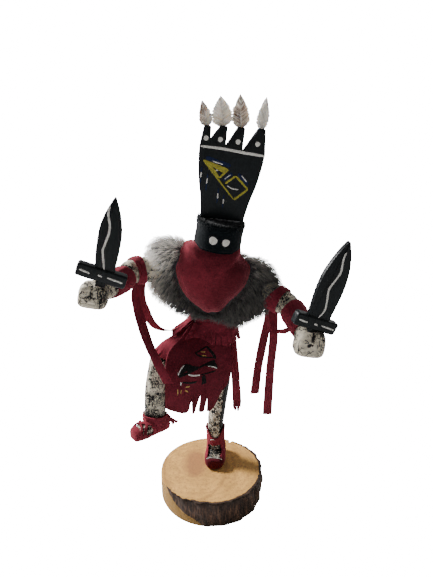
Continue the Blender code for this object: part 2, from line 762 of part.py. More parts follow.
def torso_at(height):
    """Centre, half width and half depth of the body at a height in steps."""
    table = np.array(TORSO)
    return [np.interp(height, table[:, 2], table[:, column]) for column in (0, 1, 3, 4)]


def waist_point(turn, height, layers):
    """Point on the waist in steps: turn in degrees from the front, layers of suede outward."""
    x, y, wide, deep = torso_at(height)
    lift = layers * (SUEDE + 1.5 * GAP) / STEP
    angle = math.radians(turn)
    return (x + (wide + lift) * math.sin(angle), y - (deep + lift) * math.cos(angle), height)


WAIST_TOP = 138.5
# Lower edge of the waist layer: turn from the front in degrees, then a point in steps
WAIST_HEM = ((-46, -19.5, -18, 126.5), (-22, -8.5, -11.5, 125), (0, 0.5, -12.8, 120),
             (20, 8.5, -9.8, 118), (45, 16.5, -6.2, 118), (75, 22.6, 3, 119), (110, 21.5, 15.5, 118),
             (150, 12, 26, 117), (180, 0.5, 28.8, 117), (210, -11, 26, 118),
             (240, -21, 18, 121), (262, -26.6, 8, 126.9), (285, -30, -4, 128.2),
             (300, -29.5, -14, 127.6))


def waist_fringe(cutter):
    """Layer of suede round the waist with its lower edge cut into strands."""
    guides = []
    for turn, *hem in WAIST_HEM:
        top = np.array(waist_point(turn, WAIST_TOP, 1.9))
        middle = np.array(waist_point(turn, WAIST_TOP - 4, 2.6))
        guides.append((top, middle, (middle + hem) / 2, hem))
    tips = ((1.0, 0.93), (0.9, 1.0), (1.0, 1.0), (0.86, 0.95))
    ring = cloth("waist_fringe", guides, strands_between(15, 0.009, tips), 0.6, rows=3,
                 tip_rows=1, columns=1)
    combine(ring, cutter, "DIFFERENCE", keep=True)
    return main_body(ring)


def panel_guides(turns, shapes):
    """Guide lines that start at the waist under the fringe and go on through their own points."""
    return [[waist_point(turn, WAIST_TOP - 2, 0.62)] + list(shape)
            for turn, shape in zip(turns, shapes)]


APRON = (((-14.2, -7, 129), (-20.6, -14.6, 124), (-28.5, -29, 118), (-31.5, -35, 102), (-33, -33.5, 72)),
         ((-9, -8.5, 124), (-11.5, -18, 112), (-14, -25, 96), (-16, -25, 64)),
         ((5, -6.5, 124), (5.5, -10.5, 112), (3, -14.5, 94), (1, -15, 66)),
         ((13.5, -2.5, 124), (16, -7, 104), (15, -8, 92), (11, -9, 84)))
BACK_FLAP = (((-15, 20, 122), (-17, 26, 100), (-14, 27, 82)),
             ((0.5, 24, 122), (1, 28, 100), (3, 28.5, 80)),
             ((14, 20, 122), (17, 24.5, 100), (17, 24, 82)))
HIP_WRAP = (((-16, -4.5, 130), (-21, -12, 126), (-28, -24, 122.5), (-32, -31, 117)),
            ((-16.8, 2, 129.5), (-23, -4, 126.5), (-37, -19, 123), (-45, -27, 116)),
            ((-17, 8, 129), (-23, 6, 125), (-35, -1, 118), (-42, -8, 110)),
            ((-15.5, 15, 128), (-20.5, 15.5, 123), (-27, 14, 114), (-30, 12, 104)))
# Middle line of the sash: x, y and z in steps and its share of the full width
SIDE_SASH = ((16.5, 5, 125, 0.75), (18.2, 1.5, 105, 0.95), (19.8, 2, 84, 1.0), (21.8, 2.8, 53, 1.1))


def slit_share(guides):
    """Width of a slit as a share of the panel's width at its hem."""
    hem = np.array([steps(*guide[-1]) for guide in guides])
    return SLIT / np.linalg.norm(np.diff(hem, axis=0), axis=1).sum()


def sash_guides():
    """The sash's two edges, half its width on either side of its middle line."""
    half = SASH_WIDTH / STEP / 2
    shapes = [[(x + half * share * way, y, z) for x, y, z, share in SIDE_SASH]
              for way in (-1, 1)]
    return panel_guides((66, 96), shapes)


def kilt(cutter):
    """The suede panels that hang from the waist."""
    # Name, guides, tips of the strands, where the slits start, rows and height of the folds
    panels = (
        ("front_apron", panel_guides((-50, -20, 15, 42), APRON), 9,
         ((0.96, 0.98), (0.98, 0.93), (0.95, 0.99), (1.0, 0.96), (0.95, 1.0), (1.0, 0.97),
          (0.95, 0.93)), 0.82, 8, 0.65 * SUEDE),
        ("back_flap", panel_guides((232, 180, 128), BACK_FLAP), 6,
         ((1, 0.96), (0.95, 1), (1, 1)), 0.72, 5, 0.45 * SUEDE),
        ("hip_wrap", panel_guides((-62, -82, -102, -120), HIP_WRAP), 6,
         ((1, 0.94), (0.93, 1), (0.98, 0.98)), 0.72, 4, 0.0),
        ("side_sash", sash_guides(), 3, ((0.93, 0.96), (1.0, 0.98), (0.95, 0.9)), 0.8, 6, 0.0))
    pieces = []
    for name, guides, count, tips, slit, rows, folds in panels:
        strands = strands_between(count, slit_share(guides), tips)
        pieces.append(cloth(name, guides, strands, slit, rows, tip_rows=1, columns=1, folds=folds))
    for piece in pieces:
        combine(piece, cutter, "DIFFERENCE", keep=True)
        main_body(piece)
    return pieces


# Bands: limb, middle as a share of it, length in metres and slant of the ends
BANDS = (("armband_right", UPPER_ARM_RIGHT, 0.82, BAND_WIDTH, 0.07),
         ("armband_left", UPPER_ARM_LEFT, 0.76, BAND_WIDTH, -0.07),
         ("cuff_right", FOREARM_RIGHT, 0.69, CUFF_LENGTH_RIGHT, 0.06),
         ("cuff_left", FOREARM_LEFT, 0.62, CUFF_LENGTH_LEFT, 0.06))


def sleeve(name, limb_rows, middle, length, slant, plug=False):
    """Suede band round an arm.

    As a plug it is solid, a little thicker and runs on past the band's outer end, and so cuts a
    neighbour's bed.
    """
    rows = np.array([steps(x, y, z) for x, y, z, _ in limb_rows])
    run = np.linalg.norm(np.diff(rows, axis=0), axis=1).sum()
    half = length / run / 2
    angles = np.arange(SIDES) * 2 * math.pi / SIDES
    tilt = slant * np.cos(angles - math.pi / 2)
    outside = GAP + SUEDE + (3 * GAP if plug else 0)
    if plug:
        walls = [(outside, np.array((-1.12, -0.33, 0.33, 1, 2.4)))]
    else:
        walls = [(outside, np.linspace(-1, 1, 4)), (GAP, np.linspace(1, -1, 4))]
    rings = []
    for grow, order in walls:
        for place in order:
            swell = 0.35 * SUEDE * max(1 - place ** 2, 0) if grow > GAP else 0.0
            shares = middle + half * place + tilt
            rings.append(limb_surface(limb_rows, shares, angles, grow + swell, unit(ARM_UP)))
    return loft(name, rings, along_closed=not plug)


def ribbon(name, route, width, tip=1.0, rows=10):
    """Flat strip along a route; each row of the route has its centre and the way its width runs."""
    sides = []
    for direction in (-0.5, 0.5):
        line = []
        for x, y, z, wide_x, wide_y, wide_z in route:
            reach = unit((wide_x, wide_y, wide_z)) * width / STEP * direction
            line.append((x + reach[0], y + reach[1], z + reach[2]))
        sides.append(line)
    return cloth(name, sides, [(0, 1, 1.0, tip)], 0.9, rows=rows, tip_rows=1, columns=1)


STREAMERS = {
    "streamer_right_front": ((-53.5, -12.5, 166.6), (-54.5, -15, 157), (-51, -20, 143),
                             (-45, -30, 130), (-38, -37.5, 118), (-30, -40, 102)),
    "streamer_right_back": ((-52, -4.5, 165.6), (-52.3, -5, 154.5), (-49.6, -4, 144.3),
                            (-46.5, -2, 135.5), (-42.3, 0.5, 128.5), (-37, 3, 125.0)),
    "streamer_left_front": ((46.5, -11, 143.6), (47, -13.5, 135), (47, -14, 122),
                            (45.5, -13, 98), (44.5, -12, 60)),
    "streamer_left_back": ((45.5, -1, 143.9), (43.5, 2.5, 130), (40.5, 3, 112), (37.5, 3, 92),
                           (35.5, 3, 70)),
}


def streamers():
    """Suede strips that hang from the armbands."""
    pieces = []
    for name, route in STREAMERS.items():
        rows = [(x, y, z, 1.0, 0.25, 0.0) for x, y, z in route]
        pieces.append(ribbon(name, rows, STREAMER_WIDTH, tip=0.97))
    tie = ((57.5, -24, 137.3, 0.2, -1, 0), (54.3, -19, 133.7, 0.2, -1, 0),
           (51.4, -14.4, 131.6, 0.2, -1, 0))
    pieces.append(ribbon("cuff_tie_left", tie, STREAMER_WIDTH / 2, rows=5))
    return pieces


# Moccasins

def block(name, origin, side, heading, span, low, high):
    """Upright block: span is its lowest and highest reach along the side and the heading."""
    (west, east), (rear, front) = span
    corners = ((west, rear), (east, rear), (east, front), (west, front))
    return loft(name, [[origin + side * x + heading * y + (0, 0, height) for x, y in corners]
                       for height in (low, high)])


def moccasin(name, place, forward, leg_rows, reference, band_middle, flap, windows, cutter):
    """Suede shoe: shell round the foot and ankle, trimmed to the body and cut open on top.

    A window is its start and end along the foot, its half width and its lowest height, as shares
    of the foot's length and width.
    """
    wall = GAP + SUEDE
    shoe = foot(name, place, forward, wall)
    band = limb(name + "_band", leg_rows, reference, wall + GAP)
    heading = unit(forward)
    side = unit(np.cross(heading, (0, 0, 1)))
    ankle = steps(*place)
    low = band_middle * STEP
    around = (-FOOT_LENGTH, FOOT_LENGTH)
    kept = block(name + "_keep", ankle, side, heading, (around, around), low - ANKLE_BAND * 1.25,
                 low + ANKLE_BAND + flap)
    combine(band, kept, "INTERSECT")
    combine(shoe, band, "UNION")
    combine(shoe, cutter, "DIFFERENCE", keep=True)
    for start, stop, reach, bottom in windows:
        span = ((-reach * FOOT_WIDTH, reach * FOOT_WIDTH), (start * FOOT_LENGTH, stop * FOOT_LENGTH))
        hole = block(name + "_window", ankle, side, heading, span, bottom * FOOT_WIDTH,
                     1.2 * FOOT_WIDTH)
        combine(shoe, hole, "DIFFERENCE")
    return main_body(shoe)


# Assembly

def build():
    colours = {
        "wood": material("sanded_wood", (0.62, 0.42, 0.24), 0.6),
        "figure": material("crackled_paint", (0.52, 0.49, 0.44), 0.65),
        "black": material("black_paint", (0.012, 0.013, 0.013), 0.45),
        "felt": material("red_felt", (0.36, 0.02, 0.03), 0.95),
        "suede": material("red_suede", (0.24, 0.015, 0.03), 0.9),
        "fur": material("grey_fur", (0.16, 0.14, 0.13), 0.95),
        "feather": material("cream_feather", (0.70, 0.62, 0.50), 0.8),
    }
    dressed(wood_base(), colours["wood"])
    figure = figure_solid("figure")
    combine(figure, head(GAP), "DIFFERENCE")
    cutter = figure_solid("figure_clearance", GAP)
    dressed(head(), colours["black"])
    dressed(crown(), colours["black"])
    for index in range(len(PRONG_CENTRES)):
        dressed(feather(index), colours["feather"])
    for name, shape, *blade in (
            ("sword_right", SWORD_RIGHT, BLADE_LENGTH_RIGHT, BLADE_WIDTH_RIGHT, BLADE_SHIFT_RIGHT),
            ("sword_left", SWORD_LEFT, BLADE_LENGTH_LEFT, BLADE_WIDTH_LEFT, BLADE_SHIFT_LEFT)):
        combine(figure, moved(grip(name + "_hole", GAP), *sword_axes(shape)), "DIFFERENCE")
        dressed(sword(name, shape, *blade), colours["black"])
    dressed(main_body(figure), colours["figure"])
    dressed(bib(cutter), colours["felt"])
    dressed(fur_wrap(cutter), colours["fur"])
    dressed(waist_fringe(cutter), colours["suede"])
    for piece in kilt(cutter) + streamers():
        dressed(piece, colours["suede"])
    for name, rows, middle, length, slant in BANDS:
        band = sleeve(name, rows, middle, length, slant)
        dressed(band, colours["suede"])
    shoe = moccasin("moccasin_left", *FOOT_LEFT, LEG_LEFT, LEG_UP, 15, FLAP_LEFT,
                    ((0.12, 0.46, 0.34, 0.45),), cutter)
    dressed(shoe, colours["suede"])
    shoe = moccasin("moccasin_right", *FOOT_RIGHT, SHIN_RIGHT, THIGH_UP, 12, FLAP_RIGHT,
                    ((0.06, 0.18, 0.7, 0.35), (0.30, 0.42, 0.7, 0.3)), cutter)
    dressed(shoe, colours["suede"])
    bpy.data.objects.remove(cutter, do_unlink=True)


clear_scene()
PARTS = collection("kachina_doll")
build()
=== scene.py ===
"""Dresses the packed dancer doll: carved and crackled body, suede, felt, fur, feathers and paint.

Metres, +Z up, the doll faces -Y. Right and left are the doll's own.
"""

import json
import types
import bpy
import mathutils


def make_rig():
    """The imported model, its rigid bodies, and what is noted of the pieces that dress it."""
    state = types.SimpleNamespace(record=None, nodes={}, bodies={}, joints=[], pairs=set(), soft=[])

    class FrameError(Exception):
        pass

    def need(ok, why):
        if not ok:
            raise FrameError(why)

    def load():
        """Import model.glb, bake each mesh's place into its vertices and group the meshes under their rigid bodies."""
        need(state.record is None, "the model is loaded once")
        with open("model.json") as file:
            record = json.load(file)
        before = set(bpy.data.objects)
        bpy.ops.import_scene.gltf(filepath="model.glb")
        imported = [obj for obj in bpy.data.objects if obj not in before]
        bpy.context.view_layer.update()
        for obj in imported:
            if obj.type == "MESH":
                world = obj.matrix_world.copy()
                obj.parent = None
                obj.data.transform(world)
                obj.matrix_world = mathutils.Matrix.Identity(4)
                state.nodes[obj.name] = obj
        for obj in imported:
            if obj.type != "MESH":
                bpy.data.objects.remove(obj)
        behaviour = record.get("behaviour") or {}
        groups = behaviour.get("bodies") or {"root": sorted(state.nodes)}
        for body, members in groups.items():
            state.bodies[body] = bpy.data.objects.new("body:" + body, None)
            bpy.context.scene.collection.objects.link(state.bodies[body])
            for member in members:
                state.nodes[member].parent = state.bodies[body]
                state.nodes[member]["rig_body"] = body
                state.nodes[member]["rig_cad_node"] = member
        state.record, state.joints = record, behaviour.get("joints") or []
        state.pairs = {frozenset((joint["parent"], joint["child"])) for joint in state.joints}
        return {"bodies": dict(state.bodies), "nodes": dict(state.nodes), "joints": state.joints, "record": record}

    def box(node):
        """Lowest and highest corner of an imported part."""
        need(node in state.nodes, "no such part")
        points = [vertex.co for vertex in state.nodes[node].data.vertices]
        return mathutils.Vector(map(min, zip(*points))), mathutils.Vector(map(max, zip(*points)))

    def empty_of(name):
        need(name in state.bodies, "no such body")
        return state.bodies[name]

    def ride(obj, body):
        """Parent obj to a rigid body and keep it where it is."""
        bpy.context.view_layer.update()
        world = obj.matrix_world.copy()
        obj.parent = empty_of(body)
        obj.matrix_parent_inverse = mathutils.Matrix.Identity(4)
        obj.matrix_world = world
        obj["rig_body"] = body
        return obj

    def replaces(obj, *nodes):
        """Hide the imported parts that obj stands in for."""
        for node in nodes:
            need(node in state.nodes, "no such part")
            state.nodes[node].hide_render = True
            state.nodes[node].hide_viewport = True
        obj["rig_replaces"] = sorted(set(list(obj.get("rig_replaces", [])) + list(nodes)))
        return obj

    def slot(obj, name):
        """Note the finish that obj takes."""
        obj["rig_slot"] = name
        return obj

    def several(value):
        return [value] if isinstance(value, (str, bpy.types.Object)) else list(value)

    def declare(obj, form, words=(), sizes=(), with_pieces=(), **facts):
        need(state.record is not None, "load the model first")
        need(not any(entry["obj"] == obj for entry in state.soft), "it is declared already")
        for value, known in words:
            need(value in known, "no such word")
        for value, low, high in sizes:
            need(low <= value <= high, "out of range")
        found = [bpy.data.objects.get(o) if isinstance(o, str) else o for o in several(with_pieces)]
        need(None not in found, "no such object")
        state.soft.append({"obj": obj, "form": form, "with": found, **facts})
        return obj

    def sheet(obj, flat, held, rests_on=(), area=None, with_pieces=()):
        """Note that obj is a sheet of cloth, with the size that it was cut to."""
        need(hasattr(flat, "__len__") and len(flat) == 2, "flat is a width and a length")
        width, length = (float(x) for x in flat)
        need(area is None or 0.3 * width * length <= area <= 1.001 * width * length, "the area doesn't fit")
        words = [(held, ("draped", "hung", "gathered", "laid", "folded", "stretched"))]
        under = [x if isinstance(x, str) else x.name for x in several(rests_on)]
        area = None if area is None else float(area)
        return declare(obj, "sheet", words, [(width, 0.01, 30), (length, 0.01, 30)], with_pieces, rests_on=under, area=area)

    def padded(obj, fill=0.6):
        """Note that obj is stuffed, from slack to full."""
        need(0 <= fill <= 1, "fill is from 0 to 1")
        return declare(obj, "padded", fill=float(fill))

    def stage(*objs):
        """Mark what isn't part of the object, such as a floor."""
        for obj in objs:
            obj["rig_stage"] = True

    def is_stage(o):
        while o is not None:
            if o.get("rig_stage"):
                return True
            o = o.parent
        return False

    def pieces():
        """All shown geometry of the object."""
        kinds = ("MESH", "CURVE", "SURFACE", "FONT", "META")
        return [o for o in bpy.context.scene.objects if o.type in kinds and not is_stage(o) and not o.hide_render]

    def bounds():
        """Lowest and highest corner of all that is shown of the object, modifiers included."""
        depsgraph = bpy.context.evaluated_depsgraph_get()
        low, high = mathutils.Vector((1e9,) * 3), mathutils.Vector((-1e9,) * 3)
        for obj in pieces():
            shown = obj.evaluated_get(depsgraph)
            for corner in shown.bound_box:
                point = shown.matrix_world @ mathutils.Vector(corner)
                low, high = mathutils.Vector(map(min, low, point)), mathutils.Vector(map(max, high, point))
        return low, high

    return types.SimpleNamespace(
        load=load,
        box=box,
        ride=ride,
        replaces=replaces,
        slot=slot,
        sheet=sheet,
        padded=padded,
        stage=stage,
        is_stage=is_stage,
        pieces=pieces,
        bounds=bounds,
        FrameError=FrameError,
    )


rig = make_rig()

bl_info = {
    "name": "Carved dancer doll",
    "version": (1, 0, 0),
    "blender": (4, 5, 0),
    "location": "View3D > Sidebar > Dancer doll",
    "description": "Builds the visible pieces of a carved dancer doll round its packed solids",
    "category": "Add Mesh",
}

import json
import math

import bpy
import numpy as np

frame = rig.load()
PACKED_BOX = [list(corner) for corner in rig.bounds()]
BASE_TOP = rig.box("wood_base")[1].z

# Lengths in metres
STEP = 0.001
GAP = 0.0003
SUEDE = 0.0011
BASE_RADIUS = 0.043
CRACK_DEPTH = 0.0042
EDGE_ROUND = 0.0006
HEAD_RADIUS = 0.0345 / 2
HEAD_HEIGHT = 0.0205
HEAD_RIM = 0.0026
FUZZ_WIDTH = 0.00016
CROWN_HEIGHT = 0.0632
CROWN_THICKNESS = 0.0050
CROWN_HALF_TOP = 0.0445 / 2
CROWN_HALF_FOOT = 0.0305 / 2
NOTCH_DEPTH = 0.0132
MARKS_LIFT = 0.0025
FEATHER_LENGTH = 0.0165
FEATHER_WIDTH = 0.0095
FOOT_LENGTH = 0.0275
FOOT_WIDTH = 0.0132
GUARD_LENGTH = 0.0325
GUARD_HEIGHT = 0.0092
GUARD_THICKNESS = 0.0066
BLADE_THICKNESS = 0.0040
GRIP_HALF = 0.0031
GRIP_LENGTH = 0.0163
GRIP_THICKNESS = 0.0048
FELT_THICKNESS = 0.0085
FUR_DEPTH = 0.0175
STREAMER_WIDTH = 0.0068
SASH_WIDTH = 0.0065
HEEL_FRINGE_WIDTH = 0.0021
THREAD_RADIUS = 0.00022
PAINT_SUNK = 0.0001

# Angles in radians
CRACK_TURN = math.radians(66)
CRACK_WIDTH = 0.026
HEAD_LEAN = math.radians(9.7)
HEAD_NOD = math.radians(8.0)
HEAD_TURN = math.radians(4)
CROWN_LEAN = math.radians(1.3)

# Counts, and shares of a half width
FUZZ_COUNT = 1300
LOCK_COUNT = 1500
PRONG_HALF = 0.105
SHOE_SPREAD = 0.13

# Points on the pose grid, in steps above the base
NECK_SEAT = (4.5, -3.8, 194.5)
NECK_MIDDLE = (3, 0, 196)
COLLAR_MIDDLE = (1, -5, 173)
FUR_MIDDLE = (1, -1, 168)

# Limbs on the pose grid as x, y, z and radius
THIGH_RIGHT = ((-6, 9, 100, 10.5), (-22, -7, 107.5, 10.2), (-36, -21.5, 111, 9.2))
SHIN_RIGHT = ((-36.8, -22.2, 110, 8.9), (-40.5, -26, 92, 8.5), (-42, -28.5, 74, 7.9),
              (-42.5, -30, 63, 7.0))
LEG_LEFT = ((3.9, 16, 9.5, 6.2), (3.4, 15.4, 27, 6.2), (3.8, 14.4, 40, 6.9), (6, 13.5, 60, 7.2),
            (7.2, 12, 80, 8.6), (6.5, 10, 100, 10.0))
UPPER_ARM_RIGHT = ((-14, -1, 175, 9.5), (-34, -3, 178, 9.5), (-50, -6, 177, 9.3),
                   (-58, -9.5, 176.3, 8.9))
FOREARM_RIGHT = ((-58.6, -10.5, 176, 8.7), (-63, -25, 174.5, 7.9), (-69, -38, 172.5, 6.8))
UPPER_ARM_LEFT = ((16, 0, 173, 9.5), (34, -2, 166, 9.5), (48, -5.5, 155.5, 9.3),
                  (56.5, -9, 151.5, 8.9))
FOREARM_LEFT = ((57, -10, 151, 8.7), (61.5, -25, 147, 7.9), (64.5, -38, 142, 6.8))
ARM_UP = (0, 0, 1)
THIGH_UP = (0.72, -0.69, 0)
LEG_UP = (1, 0, 0)
# Torso as x, y, z and its two half widths
TORSO = ((-1, 9, 88, 11, 9.5), (0, 10, 100, 18, 13), (0, 9.5, 113, 18.5, 13),
         (0.5, 8, 128, 15.5, 12), (1, 7, 138, 13.6, 10.8), (1.5, 4.5, 153, 18.5, 13),
         (2, 1.5, 168, 24, 14.8), (2.5, -0.5, 177, 24.5, 13.8), (3.4, -2.2, 186, 16.5, 11.8),
         (4.1, -3.1, 191, 10.6, 9.8), (4.6, -4, 198, 9.4, 9.4))
# Fists as middle, half sizes and roll in degrees
FIST_RIGHT = ((-76, -49.5, 171.6), (9.4, 8.6, 8.2), -9)
FIST_LEFT = ((66.8, -49.5, 138.3), (10.2, 9.0, 9.2), -8)
# Guard centre, lean, turn and guard tilt in degrees, then the blade's length, width and shift
SWORD_RIGHT = ((-69, -52.5, 186.2), 13, 6, 9, 0.0470, 0.0148, 0.0016)
SWORD_LEFT = ((68.9, -52.5, 153.5), 16, 14, 8, 0.0540, 0.0190, 0.0010)
# Feet as place and heading
FOOT_LEFT = ((3.8, 16, 0), (-0.09, -1.0, 0.0))
FOOT_RIGHT = ((-42.8, -31, 56), (-0.76, -0.65, 0.03))
# Outlines seen from the front as x and z
BIB_OUTLINE = ((-16, 199), (3, 196), (20.5, 194), (22.5, 187), (30.5, 179.5), (27.5, 168),
               (15.5, 153), (4, 144.5), (-4, 145.5), (-13, 150.5), (-21.5, 161.5), (-26.5, 174),
               (-27, 184), (-22, 192))
FUR_OUTLINE = ((-18, 195), (-27, 199.5), (-37, 199.5), (-45, 196.5), (-49.5, 182), (-47, 165),
               (-43, 158), (-34, 150), (-25, 144), (-14, 140), (2, 137), (16, 133.5), (24, 132.5),
               (32, 137), (43, 144), (48, 148), (53.5, 160), (49, 174), (41, 181.5), (31, 184),
               (18, 190), (0, 194))
WAIST_TOP = 138.5
# Turn in degrees from the front, and the hem's point there
WAIST_HEM = ((-46, -19.5, -18, 126.5), (-22, -8.5, -11.5, 125), (0, 0.5, -12.8, 120),
             (20, 8.5, -9.8, 118), (45, 16.5, -6.2, 118), (75, 22.6, 3, 119),
             (110, 21.5, 15.5, 118), (150, 12, 26, 117), (180, 0.5, 28.8, 117), (210, -11, 26, 118),
             (240, -21, 18, 121), (262, -26.6, 8, 126.9), (285, -30, -4, 128.2),
             (300, -29.5, -14, 127.6))
# Guide lines of the panels below the waist, from one edge to the other
APRON = (((-17, -7, 131.5), (-22.5, -14.6, 126), (-31, -29, 120), (-32.5, -35, 102),
          (-33, -33.5, 72)),
         ((-9, -8.5, 124), (-11.5, -18, 112), (-14, -25, 96), (-16, -25, 64)),
         ((5, -6.5, 124), (5.5, -10.5, 112), (3, -14.5, 94), (1, -15, 66)),
         ((13.5, -2.5, 124), (16, -7, 104), (15, -8, 92), (11, -9, 84)))
BACK_FLAP = (((-15, 20, 122), (-17, 26, 100), (-14, 27, 82)),
             ((0.5, 24, 122), (1, 28, 100), (3, 28.5, 80)),
             ((14, 20, 122), (17, 24.5, 100), (17, 24, 82)))
HIP_WRAP = (((-16, -4.5, 130), (-21, -12, 126), (-28, -24, 122.5), (-32, -31, 117)),
            ((-16.8, 2, 129.5), (-23, -4, 126.5), (-37, -19, 123), (-45, -27, 116)),
            ((-17, 8, 129), (-23, 6, 125), (-35, -1, 118), (-42, -8, 110)),
            ((-15.5, 15, 128), (-20.5, 15.5, 123), (-27, 14, 114), (-30, 12, 104)))
# Middle line of the sash, and its width there as a share
SIDE_SASH = ((16.5, 5, 125, 0.75), (18.2, 1.5, 105, 0.95), (19.8, 2, 84, 1.0),
             (21.8, 2.8, 53, 1.1))
# Limb, place along it as a share, length in metres and slant as a share
BANDS = {"armband_right": (UPPER_ARM_RIGHT, 0.82, 0.0125, 0.07),
         "armband_left": (UPPER_ARM_LEFT, 0.76, 0.0125, -0.07),
         "cuff_right": (FOREARM_RIGHT, 0.69, 0.0180, 0.06),
         "cuff_left": (FOREARM_LEFT, 0.62, 0.0225, 0.06)}
STREAMERS = {
    "streamer_right_front": ((-53.2, -11, 169.0), (-54.5, -15, 157), (-51, -20, 143),
                             (-45, -30, 130), (-38, -37.5, 118), (-30, -40, 102)),
    "streamer_right_back": ((-52, -4.5, 168), (-52.3, -5, 154.5), (-49.6, -4, 144.3),
                             (-46.5, -2, 135.5), (-41.5, 0.5, 128.5), (-34, 1, 125.8)),
    "streamer_left_front": ((46.5, -9.5, 147), (47, -13.5, 135), (47, -14, 122),
                            (45.5, -13, 98), (44.5, -12, 60)),
    "streamer_left_back": ((45.5, -2, 147), (43.5, 2.5, 130), (40.5, 3, 112), (37.5, 3, 92),
                           (35.5, 3, 70))}
CUFF_TIE = ((57.5, -24, 137.3), (54.3, -19, 133.7), (49.8, -13.6, 131.3))


def length_property(label, text, default, low, high):
    """Length in metres."""
    return bpy.props.FloatProperty(name=label, description=text, default=default, min=low,
                                   max=high, unit="LENGTH")


def count_property(label, text, default, low, high):
    """Whole number."""
    return bpy.props.IntProperty(name=label, description=text, default=default, min=low, max=high)


def colour_property(label, text, default):
    """Colour of a finish."""
    return bpy.props.FloatVectorProperty(name=label, description=text, default=default, min=0,
                                         max=1, subtype="COLOR")


class DollSizes(bpy.types.PropertyGroup):
    """Sizes that shape the visible pieces."""
    bark_relief: length_property(
        "Bark relief", "Depth of the furrows in the bark", 0.0011, 0, 0.003)
    carving_relief: length_property(
        "Carving relief", "Height of the knife marks on the body", 0.00022, 0, 0.001)
    groove_depth: length_property(
        "Groove depth", "Depth of the carved lines between the fingers", 0.0009, 0, 0.002)
    suede_thickness: length_property(
        "Suede thickness", "Thickness of the hide", SUEDE, 0.0004, 0.002)
    fold_depth: length_property(
        "Fold depth", "Height of the waves in the hanging suede", 0.0007, 0, 0.002)
    paint_thickness: length_property(
        "Paint thickness", "Height of a brush stroke above its ground", 0.00012, 0.00003, 0.0005)
    fur_length: length_property(
        "Fur length", "Length of the longest hairs", 0.0085, 0.002, 0.02)
    hair_width: length_property(
        "Hair width", "Width of a hair at its root", 0.00021, 0.00003, 0.0005)
    hair_count: count_property(
        "Hairs", "Number of hairs in each third of the fur", 7200, 100, 12000)
    barb_count: count_property(
        "Barbs", "Number of barbs on each side of a feather", 120, 10, 400)


class DollColours(bpy.types.PropertyGroup):
    """Colours of the finishes."""
    sapwood: colour_property("Sapwood", "Pale sanded wood", (0.76, 0.415, 0.105))
    heartwood: colour_property("Heartwood", "Darker wood at the middle", (0.33, 0.140, 0.055))
    bark: colour_property("Bark", "Dark bark", (0.060, 0.030, 0.017))
    body_paint: colour_property("Body paint", "Off-white crackled paint", (0.72, 0.65, 0.51))
    black: colour_property("Black paint", "Satin black", (0.0026, 0.0042, 0.0054))
    white: colour_property("White paint", "White brush strokes", (0.78, 0.76, 0.70))
    yellow: colour_property("Yellow paint", "Yellow brush strokes", (0.42, 0.37, 0.05))
    blue: colour_property("Blue paint", "Blue brush strokes", (0.010, 0.018, 0.060))
    gold: colour_property("Gold paint", "Ochre brush strokes", (0.50, 0.33, 0.10))
    suede: colour_property("Suede", "Red napped suede", (0.19, 0.025, 0.038))
    felt: colour_property("Felt", "Red felt", (0.18, 0.023, 0.034))
    fur_pale: colour_property("Pale fur", "Pale tips of the fur", (0.88, 0.83, 0.76))
    fur_dark: colour_property("Dark fur", "Dark roots of the fur", (0.017, 0.015, 0.014))
    feather: colour_property("Feather", "Cream feathers", (1.0, 0.95, 0.87))
    feather_tip: colour_property("Feather tip", "Brown markings", (0.16, 0.085, 0.045))


def sizes():
    """The size properties of the scene."""
    return bpy.context.scene.doll_sizes


def colours():
    """The colour properties of the scene."""
    return bpy.context.scene.doll_colours


# Curves and fields as whole arrays

def steps(points):
    """Pose grid to metres: x, y and z in steps, z counted from the top of the base."""
    points = np.asarray(points, float)
    return points * STEP + np.array([0, 0, BASE_TOP])


def unit(vectors):
    """Each vector over its own length."""
    vectors = np.asarray(vectors, float)
    return vectors / np.maximum(np.linalg.norm(vectors, axis=-1, keepdims=True), 1e-12)


def full_turn(count):
    """That many even angles round a whole turn."""
    return np.arange(count) * 2 * math.pi / count


def around(angles, first, second):
    """Points of a unit circle: first cos a + second sin a."""
    return np.cos(angles)[..., None] * first + np.sin(angles)[..., None] * second


def eased(values, power):
    """Each value's size to a power, with its own sign."""
    return np.sign(values) * np.abs(values) ** power


def soft_step(values):
    """From 0 to 1 as 1 / (1 + e^-x)."""
    return 1 / (1 + np.exp(-values))


def bilinear(a, b, c, d, u, v):
    """Blend of four corners in turn, a to b by u and onwards to d and c by v."""
    return (a * (1 - u) + b * u) * (1 - v) + (d * (1 - u) + c * u) * v


def catmull(a, b, c, d, f):
    """Cubic through b and c at the share f, with slopes (c - a) / 2 and (d - b) / 2."""
    return 0.5 * (2 * b + (c - a) * f + (2 * a - 5 * b + 4 * c - d) * f ** 2
                  + (3 * b - a - 3 * c + d) * f ** 3)


def spline(points, shares):
    """Catmull-Rom curve through the points at shares 0 to 1; with a column of points for every
    share, each share reads its own column."""
    points = np.asarray(points, float)
    shares = np.asarray(shares, float)
    last = len(points) - 1
    ends = np.concatenate([[2 * points[0] - points[1]], points, [2 * points[-1] - points[-2]]])
    place = np.clip(shares, 0, 1) * last
    index = np.minimum(place.astype(int), last - 1)
    fraction = (place - index)[..., None]
    if points.ndim == 2:
        a, b, c, d = (ends[index + k] for k in range(4))
    else:
        column = np.arange(len(shares))
        a, b, c, d = (ends[index + k, column] for k in range(4))
    return catmull(a, b, c, d, fraction)


def closed_spline(points, shares):
    """Catmull-Rom curve that closes on itself, at shares 0 to 1."""
    points = np.asarray(points, float)
    place = (np.asarray(shares, float) % 1) * len(points)
    index = place.astype(int)
    fraction = (place - index)[..., None]
    a, b, c, d = (points[(index + k) % len(points)] for k in (-1, 0, 1, 2))
    return catmull(a, b, c, d, fraction)


